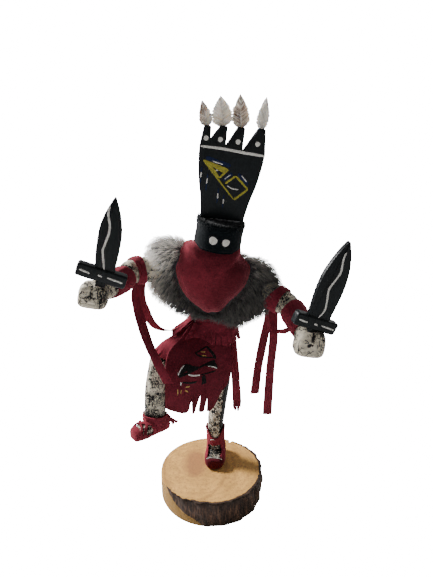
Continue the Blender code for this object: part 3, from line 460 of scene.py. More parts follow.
def field(u, v, seed):
    """Smooth random field from 0 to 1: lattice values blended by 3f^2 - 2f^3 in u and v."""
    lattice = np.random.default_rng(seed).random((64, 64))
    iu = np.floor(u).astype(int)
    iv = np.floor(v).astype(int)
    fu = u - iu
    fv = v - iv
    fu = fu * fu * (3 - 2 * fu)
    fv = fv * fv * (3 - 2 * fv)
    a = lattice[iu % 64, iv % 64] * (1 - fu) + lattice[(iu + 1) % 64, iv % 64] * fu
    b = lattice[iu % 64, (iv + 1) % 64] * (1 - fu) + lattice[(iu + 1) % 64, (iv + 1) % 64] * fu
    return a * (1 - fv) + b * fv


def field3(points, size, seed):
    """Mean of three plane fields read on the xy, yz and zx planes, with cells of that size."""
    x, y, z = np.moveaxis(np.asarray(points) / size + 20, -1, 0)
    return (field(x, y, seed) + field(y, z, seed + 1) + field(z, x, seed + 2)) / 3


def grid_normals(points, wrap=False):
    """Cross product of the column and row differences of a grid of points."""
    if wrap:
        across = np.roll(points, -1, axis=1) - np.roll(points, 1, axis=1)
    else:
        across = np.gradient(points, axis=1)
    down = np.gradient(points, axis=0)
    return unit(np.cross(across, down))


# Meshes from arrays

def put(name, verts, faces, finish, slot, nodes=(), attributes=None, crease=40):
    """Mesh from arrays: faces is a list of integer arrays, each with its own corner count.

    Unused points are dropped and the faces are turned outwards by the sign of the volume.
    """
    verts = np.asarray(verts, float).reshape(-1, 3)
    faces = [np.asarray(block, int) for block in faces if len(block)]
    used = np.unique(np.concatenate([block.ravel() for block in faces]))
    renumber = np.zeros(len(verts), int)
    renumber[used] = np.arange(len(used))
    verts = verts[used]
    faces = [renumber[block] for block in faces]
    middle = verts.mean(axis=0)
    volume = 0.0
    for block in faces:
        for k in range(1, block.shape[1] - 1):
            a, b, c = (verts[block[:, i]] - middle for i in (0, k, k + 1))
            volume += np.einsum("ij,ij->", a, np.cross(b, c))
    if volume < 0:
        faces = [block[:, ::-1] for block in faces]
    mesh = bpy.data.meshes.new(name)
    mesh.vertices.add(len(verts))
    mesh.vertices.foreach_set("co", verts.astype(np.float32).ravel())
    counts = np.concatenate([np.full(len(block), block.shape[1]) for block in faces])
    corners = np.concatenate([block.ravel() for block in faces])
    mesh.loops.add(len(corners))
    mesh.loops.foreach_set("vertex_index", corners.astype(np.int32))
    mesh.polygons.add(len(counts))
    mesh.polygons.foreach_set("loop_start", (np.cumsum(counts) - counts).astype(np.int32))
    mesh.update(calc_edges=True)
    mesh.validate()
    mesh.shade_smooth()
    mesh.set_sharp_from_angle(angle=math.radians(crease))
    for key, values in (attributes or {}).items():
        layer = mesh.attributes.new(key, "FLOAT", "POINT")
        layer.data.foreach_set("value", np.asarray(values, np.float32).ravel()[used])
    piece = bpy.data.objects.new(name, mesh)
    bpy.context.scene.collection.objects.link(piece)
    mesh.materials.append(finish)
    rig.ride(piece, "root")
    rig.slot(piece, slot)
    if nodes:
        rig.replaces(piece, *nodes)
    return piece


def loop_quads(index):
    """Quads over a grid of point numbers whose last axis closes on itself."""
    after = np.roll(index, -1, axis=-1)
    return np.stack([index[..., :-1, :], after[..., :-1, :], after[..., 1:, :],
                     index[..., 1:, :]], axis=-1).reshape(-1, 4)


def tube(rings):
    """Closed loft over the rings: points, quads, and fans to a point at each end."""
    rows, sides = rings.shape[:2]
    index = np.arange(rows * sides).reshape(rows, sides)
    after = np.roll(index, -1, axis=1)
    low = np.stack([after[0], index[0], np.full(sides, rows * sides)], axis=-1)
    high = np.stack([index[-1], after[-1], np.full(sides, rows * sides + 1)], axis=-1)
    ends = np.stack([rings[0].mean(axis=0), rings[-1].mean(axis=0)])
    return (np.concatenate([rings.reshape(-1, 3), ends]), loop_quads(index),
            np.concatenate([low, high]))


def joined(parts):
    """Several (points, quads, triangles) as one."""
    verts, quads, fans = [], [], []
    offset = 0
    for points, four, three in parts:
        verts.append(points)
        quads.append(np.asarray(four) + offset)
        if len(three):
            fans.append(np.asarray(three) + offset)
        offset += len(points)
    return np.concatenate(verts), np.concatenate(quads), (np.concatenate(fans) if fans else [])


def slab(points, thickness, solid=None, wrap=False, normals=None):
    """Both faces of a surface grid, half the thickness along its normals, and walls round its rim.

    solid says which cells are there; a wall stands on each edge that only one cell uses.
    """
    rows, columns = points.shape[:2]
    if normals is None:
        normals = grid_normals(points, wrap)
    half = normals * np.broadcast_to(thickness, (rows, columns))[..., None] / 2
    count = rows * columns
    verts = np.concatenate([(points + half).reshape(-1, 3), (points - half).reshape(-1, 3)])
    index = np.arange(count).reshape(rows, columns)
    if wrap:
        index = np.concatenate([index, index[:, :1]], axis=1)
    cells = np.stack([index[:-1, :-1], index[:-1, 1:], index[1:, 1:], index[1:, :-1]], axis=-1)
    if solid is None:
        solid = np.ones(cells.shape[:2], bool)
    top = cells[solid]
    edges = np.concatenate([top[:, [0, 1]], top[:, [1, 2]], top[:, [2, 3]], top[:, [3, 0]]])
    forward = edges[:, 0] * count + edges[:, 1]
    backward = edges[:, 1] * count + edges[:, 0]
    rim = edges[~np.isin(forward, backward)]
    walls = np.stack([rim[:, 1], rim[:, 0], rim[:, 0] + count, rim[:, 1] + count], axis=-1)
    return verts, np.concatenate([top, top[:, ::-1] + count, walls]), []


# Finishes

class Value:
    """One output of a node. Sums, differences and products of it are Math nodes."""

    def __init__(self, tree, output):
        self.tree = tree
        self.output = output

    def maths(self, operation, other=0.0):
        """Any other operation of a Math node on this value and another."""
        return add(self.tree, "ShaderNodeMath", {0: self, 1: other}, operation=operation)

    def __add__(self, other):
        return self.maths("ADD", other)

    def __sub__(self, other):
        return self.maths("SUBTRACT", other)

    def __rsub__(self, other):
        return add(self.tree, "ShaderNodeMath", {0: other, 1: self}, operation="SUBTRACT")

    def __mul__(self, other):
        return self.maths("MULTIPLY", other)


def plug(tree, node, inputs):
    """Fills inputs by name or number: a Value is linked, anything else is the input's value."""
    for key, value in inputs.items():
        if isinstance(value, Value):
            tree.links.new(value.output, node.inputs[key])
        else:
            node.inputs[key].default_value = value


def add(tree, kind, inputs=None, output=0, **settings):
    """New node with its settings and inputs, as the Value of one of its outputs."""
    made = tree.nodes.new(kind)
    for key, value in settings.items():
        setattr(made, key, value)
    plug(tree, made, inputs or {})
    return Value(tree, made.outputs[output])


def blend(factor, a, b):
    """Colour a turned into b by the factor."""
    a, b = ((*end, 1.0) if isinstance(end, tuple) else end for end in (a, b))
    return add(factor.tree, "ShaderNodeMix", {0: factor, 6: a, 7: b}, 2, data_type="RGBA")


def ramp(factor, *stops):
    """Grey or coloured ramp from (place, value) stops."""
    made = factor.tree.nodes.new("ShaderNodeValToRGB")
    elements = made.color_ramp.elements
    while len(elements) < len(stops):
        elements.new(0.5)
    for element, (place, value) in zip(elements, stops):
        element.position = place
        element.color = (*value, 1) if np.ndim(value) else (value, value, value, 1)
    plug(factor.tree, made, {0: factor})
    return Value(factor.tree, made.outputs[0])


def noise(coord, scale, detail=4.0, rough=0.55, output=0):
    """Noise texture, as grey or, from output 1, as a vector."""
    return add(coord.tree, "ShaderNodeTexNoise", {
        "Vector": coord, "Scale": scale, "Detail": detail, "Roughness": rough}, output)


def cell_edges(coord, scale):
    """Distance to the nearest edge between the cells of a Voronoi texture."""
    return add(coord.tree, "ShaderNodeTexVoronoi", {"Vector": coord, "Scale": scale},
               feature="DISTANCE_TO_EDGE")


def stretched(coord, scale, shift=(0.0, 0.0, 0.0)):
    """Coordinates times a scale along each axis, then shifted."""
    return add(coord.tree, "ShaderNodeMapping", {
        "Vector": coord, "Scale": scale, "Location": shift})


def warped(coord, scale, detail, reach):
    """Coordinates pushed aside by up to the reach of a noise."""
    push = add(coord.tree, "ShaderNodeVectorMath", {
        0: noise(coord, scale, detail, output=1), "Scale": reach}, operation="SCALE")
    return add(coord.tree, "ShaderNodeVectorMath", {0: coord, 1: push}, operation="ADD")


def bump(height, distance, strength=1.0, base=None):
    """Normals of a height, on top of those of a base."""
    inputs = {"Height": height, "Distance": distance, "Strength": strength}
    if base:
        inputs["Normal"] = base
    return add(height.tree, "ShaderNodeBump", inputs)


class Finish:
    """New material, its node tree and its coordinates: Object space in metres."""

    def __init__(self, name):
        self.material = bpy.data.materials.new(name)
        self.material.use_nodes = True
        self.tree = self.material.node_tree
        self.coord = add(self.tree, "ShaderNodeTexCoord", output=3)

    def attribute(self, name):
        """A number that each point of the mesh carries."""
        return add(self.tree, "ShaderNodeAttribute", output=2, attribute_name=name)

    def filled(self, inputs):
        """Fills the Principled shader's inputs and gives the material."""
        plug(self.tree, self.tree.nodes["Principled BSDF"], inputs)
        return self.material


def tint(colour, share):
    """A colour made lighter or darker by a share."""
    return tuple(min(1.0, c * share) for c in colour)


def suede_finish(name, colour, nap=1.0, sheen=0.3):
    """Napped hide: cloudy tone, fine directional nap, paler worn spots and a soft sheen."""
    made = Finish(name)
    coord = made.coord
    fine = noise(coord, 900, 5, 0.7)
    fibre = noise(stretched(coord, (1.0, 1.0, 0.35)), 2600, 3, 0.7)
    clouds = ramp(noise(coord, 90, 3, 0.6), (0.32, 0.0), (0.70, 1.0))
    tone = blend(clouds, tint(colour, 0.58), tint(colour, 1.15))
    tone = blend(ramp(fine, (0.35, 0.0), (0.72, 0.50)), tone, tint(colour, 1.6))
    dusty = ramp(noise(coord, 260, 6, 0.75), (0.62, 0.0), (0.82, 0.25))
    tone = blend(dusty, tone, (0.34, 0.045, 0.06))
    return made.filled({
        # Painted shade: the tone darkens by a per-point attribute on parts turned from the light: the front apron, the
        # standing shoe's toe and the collar towards +x.
        "Base Color": blend(made.attribute("painted_shade"), tone, tint(colour, 0.25)),
        "Roughness": 0.92, "Specular IOR Level": 0.05, "Sheen Weight": sheen,
        "Sheen Roughness": 0.40, "Sheen Tint": (1.0, 0.30, 0.34, 1.0),
        "Normal": bump(fibre, 0.00012 * nap, 0.8, bump(fine, 0.00025 * nap, 0.8))})


def crackle_finish():
    """Off-white paint broken into flakes by upright and branching cracks, black in between."""
    made = Finish("crackled_paint")
    coord = made.coord
    paint = colours().body_paint[:]
    bent = warped(coord, 160, 3, 0.0045)
    upright = stretched(bent, (1.0, 1.0, 0.36))
    # The wear attribute carries real wear, and painted shade down the standing leg's +x side.
    wear = made.attribute("wear")
    worn = noise(coord, 130, 4, 0.6) + (wear * 0.45 - 0.20)
    net = ramp(noise(coord, 240, 3), (0.47, 0.0), (0.56, 1.0)) * ramp(
        wear, (0.25, 1.0), (0.38, 0.45))
    cracked = cell_edges(bent, 290.0).maths(
        "LESS_THAN", net * ramp(worn, (0.30, 0.045), (0.70, 0.14)))
    hair = cell_edges(upright, 900.0).maths(
        "LESS_THAN", ramp(worn, (0.40, 0.0), (0.62, 0.10), (0.85, 0.30)))
    chips = noise(upright, 1150, 4, 0.75).maths("GREATER_THAN", 0.88 - worn * 0.62)
    broad = noise(upright, 260, 6, 0.7).maths("GREATER_THAN", 1.12 - worn * 0.80)
    black = cracked.maths("MAXIMUM", hair).maths("MAXIMUM", chips.maths("MAXIMUM", broad))
    cream = blend(ramp(noise(coord, 300, 3), (0.35, 0.0), (0.7, 1.0)), tint(paint, 0.80),
                  tint(paint, 1.18))
    under = blend(noise(coord, 900, 3), (0.003, 0.003, 0.003), (0.014, 0.013, 0.012))
    return made.filled({
        "Base Color": blend(black, cream, under),
        "Roughness": ramp(black, (0.0, 0.62), (1.0, 0.50)), "Specular IOR Level": 0.14,
        "Normal": bump(1.0 - black, 0.00022, 1.0, bump(noise(coord, 1600, 3), 0.00008))})


def black_finish(name, grain, roughness, fuzz=0.0):
    """Brushed-on black: faint wood grain and brush marks, or fibres where it is felted."""
    made = Finish(name)
    black = colours().black[:]
    depth, shine = (0.00030, 0.04) if fuzz else (0.00006, 0.22)
    lines = noise(stretched(made.coord, grain), 900, 4, 0.6)
    dusty = noise(made.coord, 700, 6, 0.75)
    tone = blend(ramp(lines, (0.40, 0.0), (0.75, 1.0)), black, tint(black, 1.9))
    return made.filled({
        "Base Color": blend(ramp(dusty, (0.62, 0.0), (0.88, 0.25)), tone, (0.05, 0.06, 0.06)),
        "Roughness": roughness, "Specular IOR Level": shine, "Sheen Weight": fuzz,
        "Sheen Roughness": 0.5,
        "Normal": bump(lines, depth, 0.8, bump(dusty, depth * 0.7, 0.7))})


def stroke_finish(name, colour):
    """Hand-brushed acrylic: streaky cover and a soft satin."""
    made = Finish(name)
    streaks = noise(made.coord, 1500, 4, 0.65)
    return made.filled({
        "Base Color": blend(ramp(streaks, (0.35, 0.0), (0.70, 1.0)), tint(colour, 0.80),
                            tint(colour, 1.10)),
        "Roughness": 0.6, "Specular IOR Level": 0.12, "Normal": bump(streaks, 0.00005)})


def wood_finish():
    """Sanded end grain with rings and rays, bare sapwood at the side and dark furrowed bark."""
    made = Finish("sanded_wood")
    coord = made.coord
    pale, heart, bark = (getattr(colours(), key)[:] for key in ("sapwood", "heartwood", "bark"))
    flat = stretched(warped(coord, 35, 2, 0.006), (1.0, 1.0, 0.0), (0.011, -0.010, 0.0))
    rings = add(made.tree, "ShaderNodeTexWave", {
        "Vector": flat, "Scale": 62.0, "Distortion": 4.5, "Detail": 3.0, "Detail Scale": 2.0},
                wave_type="RINGS", rings_direction="SPHERICAL")
    radius = add(made.tree, "ShaderNodeVectorMath", {0: stretched(flat, (1.25, 0.72, 0.0))}, 1,
                 operation="LENGTH")
    core = ramp(radius * 40.0, (0.20, 1.0), (0.80, 0.0))
    uneven = core + (noise(coord, 120, 4, 0.6) - 0.5) * 0.7
    speck = noise(coord, 560, 5, 0.8)
    border = (radius * 24.0 - 0.80).maths("ABSOLUTE")
    tone = blend(ramp(noise(coord, 70, 5, 0.6), (0.30, 0.0), (0.72, 1.0)), tint(pale, 0.66),
                 tint(pale, 1.15))
    tone = blend(ramp(uneven, (0.25, 0.0), (0.75, 0.80)), tone, heart)
    tone = blend(rings * 0.24, tone, tint(heart, 1.10))
    tone = blend(ramp(speck, (0.50, 0.0), (0.60, 0.55)), tone, tint(heart, 0.80))
    tone = blend(ramp(border, (0.0, 0.35), (0.07, 0.0)), tone, tint(heart, 0.5))
    level = add(made.tree, "ShaderNodeSeparateXYZ", {0: coord}, 2) * (1 / BASE_TOP)
    lines = noise(stretched(coord, (1.0, 1.0, 0.05)), 900, 4, 0.7)
    tone = blend(ramp(level, (0.90, 1.0), (0.985, 0.0)), tone,
                 blend(lines, tint(pale, 0.26), tint(pale, 0.56)))
    upright = noise(stretched(coord, (1.0, 1.0, 0.16)), 420, 4, 0.65)
    furrow = ramp(upright, (0.36, tint(bark, 0.25)), (0.52, bark), (0.64, tint(bark, 2.4)),
                  (0.76, (0.36, 0.27, 0.18)))
    # Painted shade: the bark darker towards the top edge, in the shadow under the rim.
    furrow = blend(ramp(level, (0.62, 0.0), (0.96, 0.75)), furrow, tint(bark, 0.30))
    edge = made.attribute("bark") + (noise(coord, 300, 4) - 0.5) * 0.45
    covered = ramp(edge, (0.44, 0.0), (0.54, 1.0))
    return made.filled({
        "Base Color": blend(covered, tone, furrow), "Roughness": 0.68,
        "Specular IOR Level": 0.3,
        "Normal": bump(blend(covered, speck, upright), 0.00035, 0.8)})


def fur_finish():
    """Hair: dark root to pale tip by the hair's own tone, matte with a soft sheen."""
    made = Finish("grey_fur")
    reach = ramp(made.attribute("along"), (0.05, 0.0), (0.55, 1.0)) * made.attribute("tone")
    return made.filled({
        "Base Color": blend(reach, colours().fur_dark[:], colours().fur_pale[:]),
        "Roughness": 0.65, "Specular IOR Level": 0.25, "Sheen Weight": 0.25})


def feather_finish():
    """Barbs: cream to brown by their own tone."""
    made = Finish("cream_feather")
    mixed = made.attribute("tone") + (noise(made.coord, 1200, 3) - 0.5) * 0.5
    return made.filled({
        "Base Color": blend(ramp(mixed, (0.05, 0.0), (0.95, 1.0)), colours().feather[:],
                            colours().feather_tip[:]),
        "Roughness": 0.7, "Sheen Weight": 0.5, "Subsurface Weight": 0.5,
        "Subsurface Radius": (1.0, 0.8, 0.6), "Subsurface Scale": 0.0008})


FINISHES = {}
INK = (0.008, 0.006, 0.007)


def finish(name):
    """Each finish is made once and shared."""
    c = colours()
    makers = {
        "wood": wood_finish, "crackle": crackle_finish, "fur": fur_finish,
        "feather": feather_finish,
        "board": lambda: black_finish("black_paint", (1.0, 1.0, 0.12), 0.42),
        "head": lambda: black_finish("black_head", (1.0, 1.0, 1.0), 0.95, 0.10),
        "ink": lambda: stroke_finish("ink_paint", INK),
        "suede": lambda: suede_finish("red_suede", c.suede[:]),
        "felt": lambda: suede_finish("red_felt", c.felt[:], 2.4, 1.0)}
    if name not in FINISHES:
        FINISHES[name] = makers[name]() if name in makers else (
            stroke_finish(name + "_paint", getattr(c, name)[:]))
    return FINISHES[name]


# Body shapes

def limb_surface(limb, shares, angles, grow, reference):
    """Point at a share along the limb's spline and an angle round it, grow above its skin.

    The side axis is the reference made square to the spline, the front axis tangent x side.
    """
    rows = np.asarray(limb, float) * STEP
    rows[:, 2] += BASE_TOP
    nudge = 0.01
    held = np.clip(shares, nudge, 1 - nudge)
    tangent = (spline(rows, held + nudge) - spline(rows, held - nudge))[..., :3]
    speed = np.linalg.norm(tangent, axis=-1, keepdims=True)
    tangent /= speed
    here = spline(rows, shares)
    beyond = shares - np.clip(shares, 0, 1)
    here[..., :3] += tangent * speed / (2 * nudge) * beyond[..., None]
    reference = unit(reference)
    side = unit(reference - tangent * (tangent @ reference)[..., None])
    front = np.cross(tangent, side)
    radius = (here[..., 3] + grow)[..., None]
    return here[..., :3] + radius * around(angles, side, front)


def carved(points, amount, seed):
    """Points moved along the ring normals by flat knife cuts: a field with cells of 3 mm."""
    normals = grid_normals(points, True)
    cuts = field3(points, 0.0032, seed) - 0.5 + 0.5 * (field3(points, 0.0014, seed + 9) - 0.5)
    return points + normals * (cuts * 2 * amount)[..., None]


def limb(rows, reference, seed, rings=64, sides=48):
    """Tapered limb: rings along its spline, and quarter-circle caps r cos a, r sin a."""
    shares = np.linspace(0, 1, rings)[:, None] + np.zeros(sides)
    angles = full_turn(sides) + np.zeros((rings, 1))
    body = limb_surface(rows, shares, angles, 0.0, reference)
    caps = []
    turns = np.linspace(0, math.radians(82), 9)[1:]
    for end, neighbour in ((body[0], body[3]), (body[-1], body[-4])):
        centre = end.mean(axis=0)
        radius = np.linalg.norm(end[0] - centre)
        outward = unit(centre - neighbour.mean(axis=0))
        caps.append(centre + (end - centre) * np.cos(turns)[:, None, None]
                    + outward * (radius * np.sin(turns))[:, None, None])
    whole = np.concatenate([caps[0][::-1], body, caps[1]])
    return tube(carved(whole, sizes().carving_relief, seed))


def torso_rings(shares, sides):
    """Ellipses through the torso's sections."""
    rows = spline(TORSO, shares)
    angles = full_turn(sides)
    centre = steps(rows[:, :3])[:, None, :]
    wide = rows[:, 3:4] * STEP * np.cos(angles)
    deep = rows[:, 4:5] * STEP * np.sin(angles)
    return centre + np.stack([wide, deep, 0 * wide], axis=-1)


# Place along the foot, half width and height as shares of its length and width
FOOT_PROFILE = ((-0.02, 0.02, 0.60), (-0.012, 0.16, 0.61), (0.0, 0.28, 0.64), (0.07, 0.41, 0.80),
                (0.25, 0.47, 0.95), (0.45, 0.47, 0.88), (0.68, 0.50, 0.68), (0.88, 0.44, 0.54),
                (0.97, 0.33, 0.46), (1.0, 0.20, 0.38), (1.008, 0.02, 0.34))


def foot_axes(place, forward):
    """Point under the foot, above the sole's suede, and its across, forward and up axes."""
    forward = unit(forward)
    across = unit(np.cross(forward, (0, 0, 1)))
    upward = np.cross(across, forward)
    sole = steps(place) + upward * (2 * GAP + SUEDE)
    return sole, across, forward, upward


def foot_rings(place, forward, grow, count, sides):
    """Superellipse rings from heel to toe: half width and half height to the power 0.75."""
    sole, across, forward, upward = foot_axes(place, forward)
    rows = spline(FOOT_PROFILE, np.linspace(0, 1, count))
    angles = full_turn(sides)
    place, half, high = rows[:, 0:1], rows[:, 1:2], rows[:, 2:3] * FOOT_WIDTH / 2
    skin = grow * np.clip(half * 12, 0, 1)
    reach = (place - 0.36) * FOOT_LENGTH + grow * (2 * place - 1)
    x = (half * FOOT_WIDTH + skin) * eased(np.cos(angles), 0.75)
    z = (high * np.clip(half * 3.2, 0, 1) + skin) * eased(np.sin(angles), 0.75) + high
    return sole + reach[..., None] * forward + x[..., None] * across + z[..., None] * upward


def fist_rings(shape, rows=72, sides=100):
    """Box with eased corners: powers 0.40 and 0.55 of the tilt's cosine and sine, 0.52 and 0.60
    of the turn's, with sunk lines between the fingers and beside the thumb. Also its wear."""
    centre, half, roll = shape
    angle = math.radians(roll)
    across = np.array([math.cos(angle), 0, math.sin(angle)])
    upward = np.array([-math.sin(angle), 0, math.cos(angle)])
    depth = np.array([0, 1.0, 0])
    tilt = (np.linspace(0.006, 0.994, rows) * math.pi - math.pi / 2)[:, None]
    turns = full_turn(sides)[None, :]
    flat = np.cos(tilt) ** 0.40
    x = flat * eased(np.cos(turns), 0.52)
    y = flat * eased(np.sin(turns), 0.60)
    z = eased(np.sin(tilt), 0.55) + 0 * turns
    x = x * (1 - 0.07 * z)
    front = np.clip(-y * 1.6, 0, 1)
    wobble = 0.05 * np.sin(7 * x)
    fingers = sum(strength * np.exp(-((z - level + wobble) / 0.06) ** 2)
                  for level, strength in ((-0.45, 0.5), (0.05, 1.0), (0.5, 0.5)))
    fingers = fingers * (x < 0.40)
    thumb = np.exp(-((x + 0.05 - 0.08 * z) / 0.06) ** 2) * (z > 0.0) + 0.8 * np.exp(
        -((x - 0.46) / 0.06) ** 2)
    sink = sizes().groove_depth * front * np.minimum(1, fingers + thumb)
    block = 0.0005 * np.clip((z - 0.08) * 8, 0, 1) * np.clip(-(x + 0.02) * 8, 0, 1) * front
    reach = np.array(half) * STEP
    points = (steps(centre) + (x * (reach[0] - 0.4 * sink))[..., None] * across
              + (y * (reach[1] - sink + block))[..., None] * depth
              + (z * reach[2])[..., None] * upward)
    inked = np.clip((sink / sizes().groove_depth - 0.62) * 5, 0, 1)
    rim = np.clip((np.abs(z) - 0.93) * 12, 0, 1) * front
    wear = 0.06 + 1.5 * np.maximum(0.55 * inked, 0.5 * rim) + 0.5 * np.clip((x - 0.45) * 6, 0, 1)
    return points, np.concatenate([wear.ravel(), [0.1, 0.1]])


def cushion(outline, middle, front, back, fullness, shares, tilts, wave=0.0, shrink=0.0):
    """Closed pad: the middle plus cos(tilt)^fullness of the way to the outline seen from the
    front, and sin(tilt) of the depth to the front or the back, both times 1 + wave."""
    rim = closed_spline(outline, shares)
    rim = steps(np.stack([rim[..., 0], np.full(rim.shape[:-1], float(middle[1])), rim[..., 1]],
                         axis=-1))
    centre = steps(middle)
    reach = rim - centre
    reach = reach * (1 - shrink / np.linalg.norm(reach, axis=-1, keepdims=True))
    spread = np.cos(tilts) ** fullness * (1 + wave)
    depth = np.where(tilts < 0, front - shrink, back - shrink) * np.sin(tilts) * (1 + wave)
    points = centre + reach * spread[..., None]
    points[..., 1] += depth
    return points


def pad_grid(count, rows):
    """Shares round and tilts from front to back, as grids with rows of equal tilt."""
    tilts = (np.linspace(0.003, 0.997, rows) - 0.5) * math.pi
    shares = np.arange(count) / count
    return np.meshgrid(shares, tilts)


def head_axes():
    """Across, up and outward axes of the leaning, nodding head."""
    upward = unit((math.tan(HEAD_LEAN), -math.tan(HEAD_NOD), 1))
    across = np.array([math.cos(HEAD_TURN), math.sin(HEAD_TURN), 0])
    across = unit(across - upward * (across @ upward))
    return across, upward, np.cross(across, upward)


def crown_axes():
    """The head's axes leant a little further to the doll's right in the board's plane."""
    across, upward, outward = head_axes()
    cosine, sine = math.cos(CROWN_LEAN), math.sin(CROWN_LEAN)
    return across * cosine + upward * sine, upward * cosine - across * sine, outward


def sword_axes(shape):
    """Guard centre and the sword's across, along and outward axes."""
    lean = math.radians(shape[1])
    turn = math.radians(shape[2])
    along = unit((math.sin(lean), -0.10, math.cos(lean)))
    across = np.array([math.cos(turn), math.sin(turn), 0])
    across = unit(across - along * (across @ along))
    return steps(shape[0]), across, along, np.cross(across, along)


# Base and body

def build_log_slice():
    """Closed profile from the underside's middle, up the side and over to the top's middle,
    carried round the wavy outline. The furrows are two fields and a cosine of the turn."""
    angles = full_turn(460)
    outline = BASE_RADIUS * (0.996 + 0.006 * np.cos(angles - 0.6) + 0.006 * np.sin(3 * angles)
                             + 0.026 * np.clip(np.sin(angles), 0, 1) ** 1.5
                             + 0.010 * np.clip(-np.cos(angles), 0, 1))
    low = np.linspace(0, 1, 18)
    side_rows = 40
    heights = np.concatenate([0 * low, np.linspace(0.0004, BASE_TOP - 0.0004, side_rows),
                              BASE_TOP + 0 * low])
    scale = np.concatenate([low ** 0.8 * 0.985, np.ones(side_rows), (1 - low) ** 0.8 * 0.992])
    rise = np.concatenate([0 * low, np.linspace(0, 1, side_rows), 1 + 0 * low])[:, None]
    on_side = np.concatenate([0 * low, np.ones(side_rows), 0 * low])[:, None]
    from_front = (angles + math.pi / 2 + math.pi) % (2 * math.pi) - math.pi
    border = -0.14 - 0.94 * rise + 0.05 * np.sin(9 * rise)
    bark = soft_step((from_front - border) * 16) * soft_step((2.75 - from_front) * 14)
    crack = np.exp(-((angles - CRACK_TURN) / CRACK_WIDTH) ** 2)
    u = angles / (2 * math.pi) * 64
    furrow = (field(u + 1.4 * rise, 3 * rise, 3) * 0.9 + field(u * 2 + rise, 5 * rise, 4) * 0.6
              - 0.75 + 0.25 * np.cos(19 * angles + 3.3 * rise))
    grain = field(u * 4, rise * 2, 8) - 0.5
    relief = bark * sizes().bark_relief * furrow * 1.5 + (1 - bark) * grain * 0.00018
    edge = np.minimum(rise * BASE_TOP, (1 - rise) * BASE_TOP) * on_side
    rounding = EDGE_ROUND * (np.exp(-edge / EDGE_ROUND) - np.exp(-BASE_TOP / 2 / EDGE_ROUND))
    reach = outline * scale[:, None] + on_side * (relief - rounding) - (
        crack * CRACK_DEPTH * np.clip(scale[:, None] * 6 - 5, 0, 1))
    reach = reach + (1 - on_side) * relief * np.clip(scale[:, None] * 12 - 11, 0, 1)
    points = np.stack([reach * np.cos(angles), reach * np.sin(angles),
                       heights[:, None] + 0 * angles], axis=-1)
    top_ring = np.clip((scale[:, None] * BASE_RADIUS - 0.0398) / 0.0012, 0, 1)
    rim = bark * np.where(rise >= 1, top_ring * 0.75, 1.0)
    ridge = np.where(on_side > 0, rim, rim * np.clip(from_front + 1.2, 0, 1))
    verts, quads, fans = tube(points)
    put("log_slice", verts, [quads, fans], finish("wood"), "sanded_wood", ["wood_base"],
        {"bark": np.concatenate([ridge.ravel(), [0, 0]])}, 60)


# Thigh, shin, leg, the four parts of the arms, torso, standing foot and raised foot
BODY_WEAR = (0.4, 0.42, 0.5, 0.35, 0.45, 0.35, 0.45, 0.5, 0.70, 0.22)


def build_body():
    """The carved body: lofts along the limbs' splines, the torso, the fists and the feet."""
    limbs = ((THIGH_RIGHT, THIGH_UP), (SHIN_RIGHT, THIGH_UP), (LEG_LEFT, LEG_UP),
             (UPPER_ARM_RIGHT, ARM_UP), (FOREARM_RIGHT, ARM_UP), (UPPER_ARM_LEFT, ARM_UP),
             (FOREARM_LEFT, ARM_UP))
    parts = [limb(rows, reference, 11 + i) for i, (rows, reference) in enumerate(limbs)]
    relief = sizes().carving_relief
    parts.append(tube(carved(torso_rings(np.linspace(0, 1, 60), 72), relief, 31)))
    for i, (place, forward) in enumerate((FOOT_LEFT, FOOT_RIGHT)):
        parts.append(tube(carved(foot_rings(place, forward, 0.0, 50, 48), relief, 41 + i)))
    wear = [np.full(len(points), base) for (points, _, _), base in zip(parts, BODY_WEAR)]
    shin, leg = parts[1][0], parts[2][0]
    wear[1] += 0.42 * soft_step((BASE_TOP + 0.076 - shin[:, 2]) / 0.003)
    # Painted shade: the standing leg's +x side, turned from the light, made black through the wear attribute.
    wear[2] += soft_step((shin_side(leg) - 0.0038) / 0.0005)
    wear[2] -= 0.15 * (leg[:, 2] < BASE_TOP + 0.020)
    for i, shape in enumerate((FIST_RIGHT, FIST_LEFT)):
        points, worn = fist_rings(shape)
        parts.append(tube(carved(points, relief, 51 + i)))
        wear.append(worn)
    verts, quads, fans = joined(parts)
    put("carved_body", verts, [quads, fans], finish("crackle"), "crackled_paint", ["figure"],
        {"wear": np.concatenate(wear)}, 60)


def shin_side(points):
    """How far each point lies to the side of the standing leg's middle line."""
    rows = np.array(LEG_LEFT)
    order = np.argsort(rows[:, 2])
    return points[:, 0] - np.interp(points[:, 2] - BASE_TOP, rows[order, 2] * STEP,
                                    rows[order, 0] * STEP)


def stroke(surface, path, width, count=44, taper=0.5, seed=0):
    """Brush stroke on a surface: a band either side of the path, rounded at its ends.

    surface turns (across, along) pairs into points and normals. The band is half of the width
    times (1 - |2s - 1|^10)^taper and a small random wobble.
    """
    share = np.linspace(0, 1, count)
    path = np.asarray(path, float)
    line = spline(path, share) if len(path) > 2 else path[0] + (path[-1] - path[0]) * share[:, None]
    heading = unit(np.gradient(line, axis=0))
    aside = np.stack([heading[:, 1], -heading[:, 0]], axis=-1)
    half = width / 2 * (1 - np.abs(2 * share - 1) ** 10 * 0.999) ** taper
    half = half * (0.88 + 0.24 * field(share * len(line) / 5, 0 * share + seed, 70 + seed))
    lanes = np.linspace(-1, 1, 7)
    flat = line[:, None, :] + aside[:, None, :] * (half[:, None] * lanes)[..., None]
    points, normals = surface(flat)
    dome = sizes().paint_thickness * (1.15 - 0.75 * lanes ** 2) + 0 * half[:, None]
    return slab(points + normals * (dome / 2)[..., None], dome + PAINT_SUNK, normals=normals)


